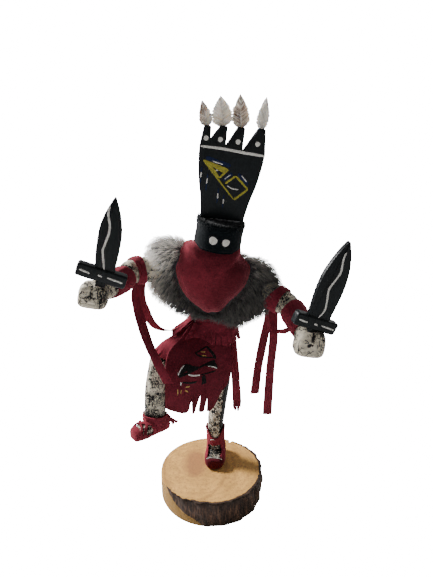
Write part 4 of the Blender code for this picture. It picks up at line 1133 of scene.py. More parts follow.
def patch(surface, corners, rows=14, columns=14):
    """Painted four-sided field: the bilinear blend of its corners laid on the surface."""
    a, b, c, d = np.asarray(corners, float)
    u, v = np.meshgrid(np.linspace(0, 1, columns), np.linspace(0, 1, rows))
    points, normals = surface(bilinear(a, b, c, d, u[..., None], v[..., None]))
    lift = sizes().paint_thickness
    return slab(points + normals * lift / 2, lift + PAINT_SUNK, normals=normals)


def disc(surface, centre, radius, sides=40):
    """Painted dot: rings of radius r with a height that falls as 1.05 - r^4."""
    rings = np.array([1.0, 0.97, 0.85, 0.6, 0.3])[:, None]
    turns = full_turn(sides)
    wobble = 1 + 0.04 * np.sin(3 * turns + 1) + 0.02 * np.sin(7 * turns)
    flat = np.asarray(centre, float) + radius * (rings * wobble)[..., None] * np.stack(
        [np.cos(turns), np.sin(turns)], axis=-1)
    points, normals = surface(flat)
    lift = sizes().paint_thickness * 1.6
    top = points + normals * (lift * (1.05 - rings ** 4))[..., None]
    bottom = points[:1] - normals[:1] * PAINT_SUNK
    return tube(np.concatenate([bottom, top]))


def strokes_on(surface, rows, seed):
    """A brush stroke for each row: its path and its width in steps."""
    return [stroke(surface, np.array(path) * STEP, width * STEP, seed=seed + i)
            for i, (path, width) in enumerate(rows)]


def painted(name, parts, colour, slot):
    """One piece of the painted parts."""
    verts, quads, fans = joined(parts)
    return put(name, verts, [quads, fans], finish(colour), slot, crease=50)


# Head, crown, feathers and swords

def build_head():
    """Turned drum: a profile of radius and height, with a thick rolled rim, felted all over."""
    radius, high, rim = HEAD_RADIUS, HEAD_HEIGHT, HEAD_RIM
    profile = np.array(((0.0002, high - rim * 0.3), (radius * 0.5, high - rim * 0.25),
                        (radius * 0.78, high - rim * 0.1), (radius * 0.90, high),
                        (radius * 0.97, high - rim * 0.15), (radius * 1.01, high - rim * 0.6),
                        (radius * 1.01, high - rim * 1.2), (radius * 0.995, high - rim * 2.0),
                        (radius * 0.985, high * 0.55), (radius, high * 0.22),
                        (radius * 0.985, rim * 0.5), (radius * 0.90, 0.0002), (0.0002, 0.0)))
    rows = spline(profile, np.linspace(0, 1, 96))
    across, upward, outward = head_axes()
    circle = around(full_turn(170), across, outward)
    points = steps(NECK_SEAT) + rows[:, 0, None, None] * circle + rows[:, 1, None, None] * upward
    lumps = field3(points, 0.0022, 61) - 0.5 + 1.2 * (field3(points, 0.0007, 64) - 0.5)
    swell = np.clip((rows[:, 1] - high + 2.4 * rim) / rim, 0.22, 1.2)[:, None]
    points = points + grid_normals(points, True) * (lumps * 0.0009 * swell)[..., None]
    verts, quads, fans = tube(points[::-1])
    put("felted_head", verts, [quads, fans], finish("head"), "black_paint", ["head"], crease=80)
    rng = np.random.default_rng(33)
    count = FUZZ_COUNT
    angle = rng.uniform(0, 2 * math.pi, count)
    level = high - rim * np.abs(rng.normal(0.1, 0.9, count))
    aim = around(angle, across, outward)
    roots = steps(NECK_SEAT) + aim * radius * 0.985 + level[:, None] * upward
    reach = rng.uniform(0.0004, 0.0013, count) * (1 + 0.8 * (np.cos(angle) < -0.3))
    lift = np.clip((level - high + rim) / rim, 0, 1)[:, None]
    tips = roots + unit(aim * 0.6 + upward * lift + rng.normal(0, 0.5, (count, 3))) * (
        reach[:, None])
    plain = np.zeros(count)
    verts, quads, caps = barb_mesh(roots, tips, np.zeros((count, 3)), np.full(count, FUZZ_WIDTH),
                                   (plain, plain), 3)[:3]
    put("head_fuzz", verts, [quads, caps], finish("head"), "black_paint", crease=180)

    def skin(flat):
        aim = around(flat[..., 0] / radius, outward, across)
        return (steps(NECK_SEAT) + aim * (radius * 0.995 + 0.00025)
                + flat[..., 1:2] * upward), aim
    eyes = [disc(skin, (math.radians(-17.7) * radius, 0.0092), 0.0029),
            disc(skin, (math.radians(12.6) * radius, 0.0090), 0.0027)]
    painted("painted_eyes", eyes, "white", "black_paint")


def crown_origin():
    """Middle of the board's foot, on top of the head."""
    return steps(NECK_SEAT) + head_axes()[1] * (HEAD_HEIGHT + GAP)


def crown_outline():
    """Half the outline of the board: its side, then prongs and notches."""
    centres = (-0.83, -0.35, 0.17, 0.78)
    tops = (0.970, 0.990, 1.0, 1.015)
    shoulder = CROWN_HEIGHT * 0.76
    foot, top = CROWN_HALF_FOOT, CROWN_HALF_TOP
    side = [(foot, 0), (foot * 1.12, shoulder * 0.27), (top * 0.90, shoulder * 0.55),
            (top * 0.98, shoulder * 0.82), (top, shoulder)]
    outline = [tuple(point) for point in spline(np.array(side), np.linspace(0, 1, 25))]
    prong = PRONG_HALF * top
    depths = (1.15, 1.0, 0.75)
    for index in (3, 2, 1, 0):
        here = centres[index] * top
        outline.append((here + prong, CROWN_HEIGHT * tops[index]))
        outline.append((here - prong, CROWN_HEIGHT * tops[index]))
        if index:
            notch = centres[index - 1] * top + 1.2 * prong
            outline.append((notch, CROWN_HEIGHT - NOTCH_DEPTH * depths[3 - index]))
    outline += [(-x, y) for x, y in spline(np.array(side), np.linspace(1, 0, 25))]
    return np.array(outline)


def dense(outline, spacing):
    """Closed outline with extra points along its straight runs, and the corners eased."""
    after = np.roll(outline, -1, axis=0)
    counts = np.maximum(1, np.round(np.linalg.norm(after - outline, axis=1) / spacing)).astype(int)
    points = np.concatenate([a + (b - a) * (np.arange(n) / n)[:, None]
                             for a, b, n in zip(outline, after, counts)])
    for _ in range(2):
        points = 0.25 * np.roll(points, 1, axis=0) + 0.5 * points + 0.25 * np.roll(
            points, -1, axis=0)
    return points


def board(outline, thickness, bevel, seed, wear=0.00012):
    """Board with a rounded, slightly worn edge: rings of the outline pulled in along its normal
    by bevel (1 - sin a) and set at bevel cos a from the faces."""
    heading = unit(np.roll(outline, -1, axis=0) - np.roll(outline, 1, axis=0))
    inward = np.stack([-heading[:, 1], heading[:, 0]], axis=-1)
    turns = np.linspace(0, math.pi / 2, 5)
    level = np.concatenate([-(thickness / 2 - bevel) - bevel * np.cos(turns),
                            (thickness / 2 - bevel) + bevel * np.sin(turns)])
    pull = np.concatenate([bevel * (1 - np.sin(turns)), bevel * (1 - np.cos(turns))])
    length = np.arange(len(outline)) / 3.0
    knocks = wear * (field(length, 0 * length, seed) - 0.3)
    flat = outline + inward * (pull[:, None] + np.clip(knocks, 0, 1))[..., None]
    rings = np.concatenate([flat, np.broadcast_to(level[:, None, None],
                                                  (*flat.shape[:2], 1))], axis=-1)
    index = np.arange(rings.shape[0] * rings.shape[1]).reshape(rings.shape[:2])
    return rings.reshape(-1, 3), [loop_quads(index), index[:1, ::-1], index[-1:]]


def placed(points, origin, across, along, outward):
    """Points of a board carried onto three axes at an origin."""
    return points @ np.array([across, along, outward]) + origin


def plane_skin(origin, across, along, outward, level):
    """Surface of a flat face: origin + x across + y along, at a level outwards."""
    def skin(flat):
        points = origin + flat[..., :1] * across + flat[..., 1:2] * along + outward * level
        return points, np.broadcast_to(outward, points.shape)
    return skin


# Paths and widths of the crown's strokes, places and radii of its dots, in steps
CROWN_WHITE = ((((-22.2, 45.6), (-8, 45.8), (8, 45.1), (22.2, 44.7)), 1.7),
               (((-18.9, 28.8), (-18.9, 25.0)), 0.9), (((-14.3, 25.3), (-14.3, 21.6)), 0.9),
               (((-5.6, 15.9), (-5.4, 12.2)), 0.9), (((-1.2, 12.4), (-1.0, 9.0)), 0.9),
               (((-12.3, 36.9), (-5.0, 35.7)), 0.7), (((8.6, 29.9), (12.8, 26.1)), 0.7),
               (((-2.6, 26.0), (1.2, 29.6)), 0.6), (((-0.2, 21.9), (3.6, 20.3), (8.2, 20.1)), 0.8))
CROWN_DOTS = ((-18.6, 51.2, 1.65), (-9.2, 51.5, 1.65), (2.6, 51.5, 1.65), (15.8, 51.8, 1.65),
              (-8.6, 31.3, 0.6))
CROWN_YELLOW = ((((-18.5, 36.9), (-0.9, 32.7)), 1.1), (((-0.9, 32.7), (-6.4, 26.3)), 1.2),
                (((-18.5, 36.9), (-12.0, 32.2), (-6.4, 26.3)), 1.5),
                (((-18.2, 36.4), (6.0, 12.7)), 1.0), (((6.0, 12.7), (14.5, 21.0)), 1.5),
                (((14.5, 21.0), (4.7, 29.1)), 1.3), (((4.7, 29.1), (-1.6, 23.1)), 1.3))
CROWN_BLUE = ((((-17.3, 38.9), (0.5, 35.2)), 2.6), (((-3.4, 24.8), (2.1, 30.7)), 2.2),
              (((6.1, 30.9), (14.0, 24.3)), 2.4), (((-18.9, 32.6), (-18.8, 20.5)), 0.9),
              (((-14.3, 28.4), (-14.2, 16.5)), 0.9), (((-5.6, 19.6), (-5.4, 8.6)), 0.9),
              (((-1.2, 15.6), (-1.0, 5.6)), 0.9))
CROWN_PATCHES = (((-18.5, 36.9), (-1.8, 32.9), (-4.0, 30.0), (-14.0, 34.2)),
                 ((-14.0, 33.4), (-9.2, 31.2), (-6.4, 26.3), (-10.0, 29.8)))


def build_crown():
    """Flared board with four prongs, and its brushed lines, dots and frets."""
    across, upward, outward = crown_axes()
    origin = crown_origin()
    verts, faces = board(dense(crown_outline(), 0.0005), CROWN_THICKNESS, 0.00045, 21)
    put("crown_board", placed(verts, origin, across, upward, outward), faces, finish("board"),
        "black_paint", ["crown"], crease=50)
    painted_from = origin + upward * MARKS_LIFT
    skin = plane_skin(painted_from, across, upward, outward, CROWN_THICKNESS / 2)
    high = plane_skin(painted_from, across, upward, outward, CROWN_THICKNESS / 2 + 0.00008)
    painted("crown_blue", strokes_on(skin, CROWN_BLUE, 0), "blue", "black_paint")
    patches = [patch(skin, np.array(corners) * STEP) for corners in CROWN_PATCHES]
    painted("crown_yellow", strokes_on(skin, CROWN_YELLOW, 10) + patches, "yellow",
            "black_paint")
    dots = [disc(high, (x * STEP, y * STEP), r * STEP) for x, y, r in CROWN_DOTS]
    painted("crown_white", strokes_on(high, CROWN_WHITE, 20) + dots, "white", "black_paint")


def barb_mesh(roots, tips, bend, width, tones, stations=5):
    """Thin three-sided blades from roots to tips: root + (tip - root) s + 2 bend s (1 - s),
    with a width that falls as (1 - s)^0.7 and two tones blended along each."""
    s = np.linspace(0, 1, stations)
    count = len(roots)
    middle = (roots[:, None, :] + (tips - roots)[:, None, :] * s[:, None]
              + bend[:, None, :] * (s * (1 - s) * 2)[:, None])
    heading = unit(tips - roots)
    side = unit(np.cross(heading, unit(np.array([0.31, -0.87, 0.39]))))
    other = np.cross(heading, side)
    ring = around(full_turn(3), side[:, None, :], 0.6 * other[:, None, :])
    thin = np.maximum((1 - s) ** 0.7, 0.12)
    radius = (np.asarray(width).reshape(-1, 1) / 2 * thin)[..., None, None]
    verts = middle[:, :, None, :] + radius * ring[:, None, :, :]
    index = np.arange(count * stations * 3).reshape(count, stations, 3)
    caps = np.concatenate([index[:, 0, ::-1], index[:, -1]])
    tone = tones[0][:, None] + (tones[1] - tones[0])[:, None] * s
    along = np.broadcast_to(s, (count, stations))
    spread = [np.repeat(values[..., None], 3, axis=2).ravel() for values in (tone, along)]
    return verts.reshape(-1, 3), loop_quads(index), caps, spread[0], spread[1]


# Place on the crown, its height, length, half width, lean, and browns of edge, middle and tip
FEATHERS = ((-0.84, 0.970, 1.02, 1.02, -18, (0.70, 0.15, 1.0)),
            (-0.37, 0.990, 1.18, 1.64, -16, (0.0, 0.22, 0.0)),
            (0.15, 1.0, 1.30, 1.38, -9, (0.40, 0.75, 0.40)),
            (0.77, 1.015, 1.27, 0.98, -3, (0.0, 0.08, 0.0)))


def build_feathers():
    """Each feather: a leaf-shaped vane whose rows slope back from the quill, half width
    sin(pi s^0.62)^0.8 with a ragged edge, a quill along it, and loose barbs over both."""
    across, upward, outward = crown_axes()
    origin = crown_origin()
    count = sizes().barb_count
    for i, (place, top, length, wide, lean, browns) in enumerate(FEATHERS):
        rng = np.random.default_rng(80 + i)
        lean = math.radians(lean)
        along = upward * math.cos(lean) + across * math.sin(lean)
        aside = across * math.cos(lean) - upward * math.sin(lean)
        foot = origin + across * place * CROWN_HALF_TOP + upward * (CROWN_HEIGHT * top - 0.0006)
        size = FEATHER_LENGTH * length
        half = FEATHER_WIDTH / 2 * wide

        def at(s, u, lift):
            """Point at the share s of the quill and u of the half width, lifted outwards."""
            width = half * np.clip(np.sin(math.pi * np.clip(s, 0, 1) ** 0.62), 0, 1) ** 0.8
            bow = 0.0006 * (1 if i % 2 else -1) * s ** 2
            return (foot + along * (s * size * (1 - 0.04 * np.abs(u)))[..., None]
                    + aside * (u * width + bow)[..., None]
                    + outward * (lift - 0.0012 * u * u + 0.0014 * s * s)[..., None])

        def brown(s, u):
            """Share of brown, from the middle's to the edge's and the tip's."""
            edge, middle, end = browns
            side = np.clip(-u, 0, 1) if i == 0 else np.abs(u)
            return np.clip(middle + (edge - middle) * side ** 1.5
                           + (end - middle) * np.clip(s * 1.6 - 0.8, 0, 1), 0, 1)
        s, u = np.meshgrid(np.linspace(0.02, 0.995, 100), np.linspace(-1, 1, 31), indexing="ij")
        ragged = 1 - 0.30 * np.abs(u) ** 6 * field((s - 0.1 * np.abs(u)) * 55, np.sign(u) + 2, i)
        rib = field((s - 0.25 * np.abs(u)) * 70, 3 + np.sign(u), 30 + i)
        vane = at(s - 0.10 * np.abs(u) * s * (1 - s), u * ragged, (rib - 0.5) * 0.0004)
        blade, blade_quads, _ = slab(vane, 0.00022)
        blade_tone = np.tile(np.clip(brown(s, u) + (rib - 0.5) * 0.9, 0, 1).ravel(), 2)
        roots, tips, bends, widths, tones = [], [], [], [], []
        for way in (-1, 1):
            share = np.sort(rng.uniform(0.10, 0.99, count))
            edge = way * rng.uniform(0.85, 1.12, count)
            level = rng.normal(0, 0.0004, count)
            roots.append(at(np.maximum(share - 0.20, 0.03), way * 0.05 + 0 * share, level))
            tips.append(at(share, edge, level * 2))
            bends.append(along * rng.uniform(-0.0004, 0.0001, count)[:, None])
            widths.append(rng.uniform(0.00016, 0.00034, count))
            tones.append(np.clip(brown(share, edge) + rng.normal(0, 0.14, count), 0, 1))
        tones = np.concatenate(tones)
        verts, quads, caps, barb_tone, _ = barb_mesh(
            *(np.concatenate(x) for x in (roots, tips, bends, widths)), (tones * 0.8, tones))
        line = np.linspace(0, 0.96, 24)
        thin = 0.00040 * (1 - 0.8 * line)
        quill = at(line, 0 * line, 0.0003)[:, None, :] + (
            thin[:, None, None] * around(full_turn(8), aside, outward))
        shaft, shaft_quads, shaft_fans = tube(quill)
        first, second = len(verts), len(verts) + len(blade)
        put("feather_vane_%d" % (i + 1), np.concatenate([verts, blade, shaft]),
            [quads, caps, blade_quads + first, shaft_quads + second, shaft_fans + second],
            finish("feather"), "cream_feather", ["feather_%d" % (i + 1)],
            {"tone": np.concatenate([barb_tone, blade_tone, np.full(len(shaft), 0.30)])}, 80)


# Share of the blade's length and of its half width
WAVES = {"right": ((0.0, -0.05), (0.28, -0.42), (0.50, -0.10), (0.62, -0.08), (0.80, -0.42),
                   (0.97, -0.12)),
         "left": ((0.0, -0.15), (0.12, 0.18), (0.27, -0.02), (0.40, -0.22), (0.62, 0.20),
                  (0.80, -0.05), (0.90, 0.0), (1.0, 0.25))}
DASHES = ((-0.0142, -0.0072), (-0.0021, 0.0007), (0.0037, 0.0142))


def build_swords():
    """Leaf blades, guards and grips with rounded edges, a wavy line and dashes on each."""
    for side, shape in (("right", SWORD_RIGHT), ("left", SWORD_LEFT)):
        axes = sword_axes(shape)
        length, width, shift = shape[4:]
        leaf = np.array(((0.0, 0.86), (0.12, 0.93), (0.3, 1.0), (0.48, 0.99), (0.62, 0.88),
                         (0.76, 0.66), (0.88, 0.38), (0.97, 0.12)))
        rows = spline(leaf, np.linspace(0, 1, 40))
        right = np.stack([rows[:, 1] * width / 2, rows[:, 0] * length + GUARD_HEIGHT / 2], axis=1)
        low = -GUARD_HEIGHT / 3
        outline = np.concatenate([[(right[0, 0], low)], right,
                                  [(0, length + GUARD_HEIGHT / 2)], right[::-1] * (-1, 1),
                                  [(-right[0, 0], low)]]) + (shift, 0)
        tilt = math.radians(shape[3])
        turn = np.array([[math.cos(tilt), -math.sin(tilt)], [math.sin(tilt), math.cos(tilt)]])
        half_length, half_height = GUARD_LENGTH / 2, GUARD_HEIGHT / 2
        corner = half_height * 0.24
        quarter = np.array([(half_length, half_height - corner),
                            (half_length - corner, half_height)])
        bar = np.concatenate([quarter[:1] * (1, -1), quarter, quarter[::-1] * (-1, 1), -quarter,
                              quarter[1:] * (1, -1)]) @ turn
        grip = np.array([(GRIP_HALF, -GRIP_LENGTH), (GRIP_HALF, 0), (-GRIP_HALF, 0),
                         (-GRIP_HALF, -GRIP_LENGTH)])
        verts, faces = [], []
        offset = 0
        for shape_outline, thickness, bevel, seed in (
                (outline, BLADE_THICKNESS, 0.0007, 3), (bar, GUARD_THICKNESS, 0.0012, 4),
                (grip, GRIP_THICKNESS, 0.0006, 5)):
            points, blocks = board(dense(shape_outline, 0.0005), thickness, bevel, seed, 0.0003)
            verts.append(placed(points, *axes))
            faces += [block + offset for block in blocks]
            offset += len(points)
        put("sword_wood_" + side, np.concatenate(verts), faces, finish("board"), "black_paint",
            ["sword_" + side], crease=50)
        skin = plane_skin(*axes, BLADE_THICKNESS / 2)
        s = np.linspace(0.0, 0.88, 40)
        line = np.array(WAVES[side])
        wave = np.interp(s, line[:, 0], line[:, 1]) * width / 2
        for _ in range(3):
            wave[1:-1] = (wave[:-2] + 2 * wave[1:-1] + wave[2:]) / 4
        path = np.stack([wave + shift, GUARD_HEIGHT / 2 - 0.0006 + s * length], axis=1)
        strokes = [stroke(skin, path, 0.0013, 160, 0.5, 2)]
        front = plane_skin(*axes, GUARD_THICKNESS / 2)
        for begin, end in DASHES:
            ends = np.array([(begin, 0.0003), (end, -0.0002)]) @ turn
            strokes.append(stroke(front, ends, 0.0011, 30, 0.5, 5))
        painted("sword_paint_" + side, strokes, "white", "black_paint")


# Collar and fur

def build_collar():
    """Padded felt: the collar's cushion, with folds that fan down from the neck."""
    shares, tilts = pad_grid(190, 88)
    front = tilts < 0
    rays = np.sin(14 * math.pi * shares + 2.2 * np.sin(4 * math.pi * shares))
    lumps = field(shares * 14, tilts * 3 + 4, 5) - 0.5
    wave = np.where(front, 0.030 * rays * np.cos(tilts) ** 2 + 0.035 * lumps * np.cos(tilts), 0)
    points = cushion(BIB_OUTLINE, COLLAR_MIDDLE, FELT_THICKNESS * 2.1, FELT_THICKNESS * 1.7,
                     0.62, shares, tilts, wave)
    verts, quads, fans = tube(points)
    # Painted shade: the collar darker towards +x and lower down, the side turned from the light.
    slope = verts[:, 0] - 0.6 * (verts[:, 2] - 0.195)
    painted_shade = 0.60 * soft_step((slope - 0.008) / 0.005)
    piece = put("felt_collar", verts, [quads, fans], finish("felt"), "red_felt", ["bib"],
                {"painted_shade": painted_shade}, 80)
    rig.padded(piece, fill=0.8)


def scatter(points, count, rng, keep):
    """Random places on a closed grid, as likely as each cell's area: points and normals."""
    after = np.roll(points, -1, axis=1)
    a, b, c, d = points[:-1], after[:-1], after[1:], points[1:]
    cross = np.cross(c - a, d - b)
    area = np.linalg.norm(cross, axis=-1) / 2
    area = area * keep((a + c) / 2)
    chance = (area / area.sum()).ravel()
    cell = rng.choice(len(chance), count, p=chance)
    u, v = rng.random((2, count, 1))
    a, b, c, d = (x.reshape(-1, 3)[cell] for x in (a, b, c, d))
    normals = unit(cross.reshape(-1, 3)[cell])
    return bilinear(a, b, c, d, u, v), normals


def inside_outline(points, outline, grow):
    """True where a point seen from the front is inside the outline grown about its middle."""
    line = steps(np.insert(closed_spline(outline, np.arange(200) / 200), 1, 0, axis=1))[:, [0, 2]]
    middle = line.mean(axis=0)
    offset = line - middle
    line = middle + offset * (1 + grow / np.linalg.norm(offset, axis=1, keepdims=True))
    angle = np.arctan2(line[:, 1] - middle[1], line[:, 0] - middle[0])
    order = np.argsort(angle)
    radius = np.linalg.norm(line - middle, axis=1)[order]
    flat = points[..., [0, 2]] - middle
    limit = np.interp(np.arctan2(flat[..., 1], flat[..., 0]), angle[order], radius,
                      period=2 * math.pi)
    return np.linalg.norm(flat, axis=-1) < limit


def build_fur():
    """A dark pad, and hairs that bow outwards from root to tip, dark at the root. Each tip is
    drawn 10 to 55 % of the way to the tip of the nearest lock's leader."""
    shares, tilts = pad_grid(140, 70)
    skin = cushion(FUR_OUTLINE, FUR_MIDDLE, FUR_DEPTH, FUR_DEPTH * 1.1, 0.5, shares, tilts,
                   0.0, 0.0036)
    lumps = field3(skin, 0.006, 91) - 0.5
    skin = skin - grid_normals(skin, True) * (lumps * 0.0016)[..., None]
    verts, quads, fans = tube(skin)
    put("fur_hide", verts, [quads, fans], finish("fur"), "grey_fur", ["fur_wrap"],
        {"along": np.full(len(verts), 0.1), "tone": np.full(len(verts), 0.3)}, 80)
    rng = np.random.default_rng(7)
    count = sizes().hair_count * 3

    def shown(places):
        covered = inside_outline(places, BIB_OUTLINE, -0.002) & (places[..., 1] < -0.004)
        return np.where(covered, 0.0, np.where(places[..., 1] < 0.002, 1.0, 0.75))
    roots, normals = scatter(skin, count, rng, shown)
    middle = skin.reshape(-1, 3).mean(axis=0)
    normals = normals * np.sign(np.einsum("ij,ij->i", normals, roots - middle))[:, None]
    flow = unit((roots - steps(NECK_MIDDLE)) * (1, 0.6, 1)) + np.array([0, 0, -0.35])
    flow = flow - normals * np.einsum("ij,ij->i", flow, normals)[:, None] * 0.8
    length = sizes().fur_length * rng.uniform(0.55, 1.05, count)
    jitter = rng.normal(0, 0.22, (count, 3))
    aim = unit(unit(flow) * 0.95 + normals * 0.75 + jitter)
    tips = roots + aim * length[:, None]
    leaders = rng.choice(count, LOCK_COUNT, replace=False)
    nearest = np.empty(count, int)
    for start_at in range(0, count, 4000):
        block = roots[start_at:start_at + 4000]
        gap = ((block[:, None, :] - roots[leaders][None, :, :]) ** 2).sum(axis=-1)
        nearest[start_at:start_at + 4000] = leaders[gap.argmin(axis=1)]
    tips = tips + (tips[nearest] - tips) * rng.uniform(0.10, 0.55, (count, 1))
    bend = normals * (length * 0.30)[:, None]
    x, _, z = (roots - steps(FUR_MIDDLE)).T
    # Painted light: hairs paler on the upper left, at the far left and along the top at +x, where the lamp falls;
    # random patches vary it.
    lit = 0.10 + 2.1 * soft_step((x * 0.35 + z - 0.004) / 0.004) * soft_step((-0.006 - x) / 0.006)
    lit += 1.3 * soft_step((-0.034 - x) / 0.0025)
    lit += 0.75 * soft_step((z - 0.009) / 0.0025) * (x > 0)
    patches = field3(roots, 0.009, 95)
    tone = np.clip(lit * (0.60 + 0.7 * patches) + rng.normal(0, 0.07, count), 0.03, 1.2)
    for third, name in enumerate(("fur_hair_right", "fur_hair_left", "fur_hair_under")):
        group = np.arange(third, count, 3)
        width = sizes().hair_width * rng.uniform(0.7, 1.2, len(group))
        verts, quads, caps, tones, along = barb_mesh(
            roots[group], tips[group], bend[group], width, (tone[group], tone[group]), 3)
        put(name, verts, [quads, caps], finish("fur"), "grey_fur", (),
            {"tone": tones, "along": along}, 180)


# Suede

def suede_piece(name, part, nodes, attributes=None):
    """Piece of red suede from a slab."""
    verts, quads, _ = part
    return put(name, verts, [quads], finish("suede"), "red_suede", nodes, attributes, 50)


def drape(guides, across, down):
    """Cloth point: smooth down each guide line, then smooth from guide to guide."""
    flat_across, flat_down = np.ravel(across), np.ravel(down)
    lines = np.array([spline(steps(guide), flat_down) for guide in guides])
    return spline(lines, flat_across).reshape(*np.shape(across), 3)


def strands(cuts, tips, inner):
    """Columns across a fringed panel: for every column the cut on its left and on its right as
    (place, width, where it begins, drift), its share between them, its strand and where it ends."""
    walls = np.array([(0, 0, 0.99, 0)] + list(cuts) + [(1, 0, 0.99, 0)])
    count = len(walls) - 1
    number = np.repeat(np.arange(count), inner + 1)
    share = np.tile(np.linspace(0, 1, inner + 1), count)
    low, high = np.array([tips[i % len(tips)] for i in range(count)])[number].T
    ends = low + (high - low) * share - 0.014 * np.abs(2 * share - 1) ** 6
    return walls[number], walls[number + 1], share, number, ends


def even_cuts(count, width, begin, seed):
    """Cuts at nearly even places, from begin to begin + 0.1."""
    rng = np.random.default_rng(seed)
    return [((i + rng.uniform(-0.15, 0.15)) / count, width * rng.uniform(0.5, 1.3),
             begin + rng.uniform(0, 0.1), 0) for i in range(1, count)]


def cloth_normals(guides, across, down):
    """Cross product of the cloth's slopes across and down, over steps of 0.02."""
    nudge = 0.01
    inner = np.clip(across, nudge, 1 - nudge)
    lower = np.clip(down, nudge, 1 - nudge)
    side = drape(guides, inner + nudge, down) - drape(guides, inner - nudge, down)
    fall = drape(guides, across, lower + nudge) - drape(guides, across, lower - nudge)
    return unit(np.cross(side, fall))


def rippled(guides, across, down, folds, seed):
    """Draped points, their normals, and the height of the folds sin(5 pi u + 1.5 v) that grow
    downwards, with a small field on them."""
    wave = np.sin(5 * math.pi * across + 1.5 * down) * folds * np.clip(down, 0, 1)
    small = (field(across * 9, down * 7, seed) - 0.5) * 0.0009 * np.clip(down * 3, 0, 1)
    return drape(guides, across, down), cloth_normals(guides, across, down), wave + small


def panel(guides, cuts, tips, folds, seed, inner=6, rows=(46, 30), curl=0.0012):
    """Fringed panel on the rippled surface. Each cut opens from its beginning as the power 0.8
    of the run, and each strand below has a sway of its own that grows as the power 1.5."""
    left, right, share, number, ends = strands(cuts, tips, inner)
    start_at = min(cut[2] for cut in cuts)
    body = np.linspace(0, 1, rows[0])[:, None] * start_at + 0 * share
    run = np.linspace(0, 1, rows[1] + 1)[1:, None]
    down = np.concatenate([body, start_at + (ends - start_at) * run])

    def lip(cut, way):
        opened = np.clip((down - cut[:, 2]) / (1 - cut[:, 2]), 0, 1)
        return cut[:, 0] + cut[:, 3] * opened + way * cut[:, 1] / 2 * (0.02 + 0.98 * opened ** 0.8)
    low, high = lip(left, 1), lip(right, -1)
    across = low + (high - low) * share
    points, normals, lift = rippled(guides, across, down, folds, seed)
    rng = np.random.default_rng(seed)
    free = np.clip((down - start_at) / (1 - start_at), 0, 1.2)
    count = number[-1] + 1
    sway = rng.normal(0, 1, count)[number] * curl * free ** 1.5
    side = unit(np.gradient(points, axis=1))
    drift = rng.normal(0, 0.25, count)[number] * curl * free ** 1.5
    twist = (share - 0.5) * rng.normal(0, 0.9, count)[number] * free * 0.0014
    points = points + normals * (lift + sway + twist)[..., None] + side * drift[..., None]
    gap = number[1:] != number[:-1]
    solid = ~(gap & (down[:-1, :-1] >= right[:-1, 2]))
    return points, solid


def cell_areas(points):
    """Area of every cell: half the cross product of its diagonals."""
    a, b, c, d = points[:-1, :-1], points[:-1, 1:], points[1:, 1:], points[1:, :-1]
    return np.linalg.norm(np.cross(c - a, d - b), axis=-1) / 2


def declare(piece, points, solid, held, rests_on, with_pieces=()):
    """States the cut size of a cloth: its longest row and column, and the area of its cells."""
    across = (np.linalg.norm(np.diff(points[1:], axis=1), axis=-1) * solid).sum(axis=1).max()
    down = np.linalg.norm(np.diff(points, axis=0), axis=-1).sum(axis=0).max()
    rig.sheet(piece, flat=(across * 1.02, down * 1.02), held=held, rests_on=rests_on,
             area=cell_areas(points)[solid].sum(), with_pieces=with_pieces)


def waist_point(turn, height, layers):
    """Point on the waist: turn in degrees from the front, layers of suede outward, in steps."""
    table = np.array(TORSO)
    x, y, wide, deep = [np.interp(height, table[:, 2], table[:, column]) for column in (0, 1, 3, 4)]
    lift = layers * (SUEDE + 1.5 * GAP) / STEP
    angle = math.radians(turn)
    return (x + (wide + lift) * math.sin(angle), y - (deep + lift) * math.cos(angle), height)


def panel_guides(turns, shapes):
    """Guide lines that begin on the waist at the given turns."""
    return [[waist_point(turn, WAIST_TOP - 2, 0.62)] + list(shape)
            for turn, shape in zip(turns, shapes)]


def waist_guides():
    """Guide lines from the waist's top, over its widest suede, to each point of the hem."""
    guides = []
    for turn, *hem in WAIST_HEM:
        top = np.array(waist_point(turn, WAIST_TOP, 1.9))
        middle = np.array(waist_point(turn, WAIST_TOP - 4, 2.6))
        guides.append((top, middle, (middle + hem) / 2, hem))
    return guides


def sash_guides():
    """The sash's two edges, half of its width either side of its middle line."""
    half = SASH_WIDTH / STEP / 2
    return panel_guides((66, 96), [[(x + half * share * way, y, z) for x, y, z, share in SIDE_SASH]
                                   for way in (-1, 1)])


APRON_SEED = 3
APRON_TURNS = (-50, -20, 15, 42)
APRON_CUTS = ((0.345, 0.030, 0.89, -0.020), (0.470, 0.080, 0.855, -0.060),
              (0.565, 0.032, 0.88, -0.020))
APRON_TIPS = ((0.978, 0.965), (0.962, 0.958), (0.972, 0.975), (0.992, 0.958))


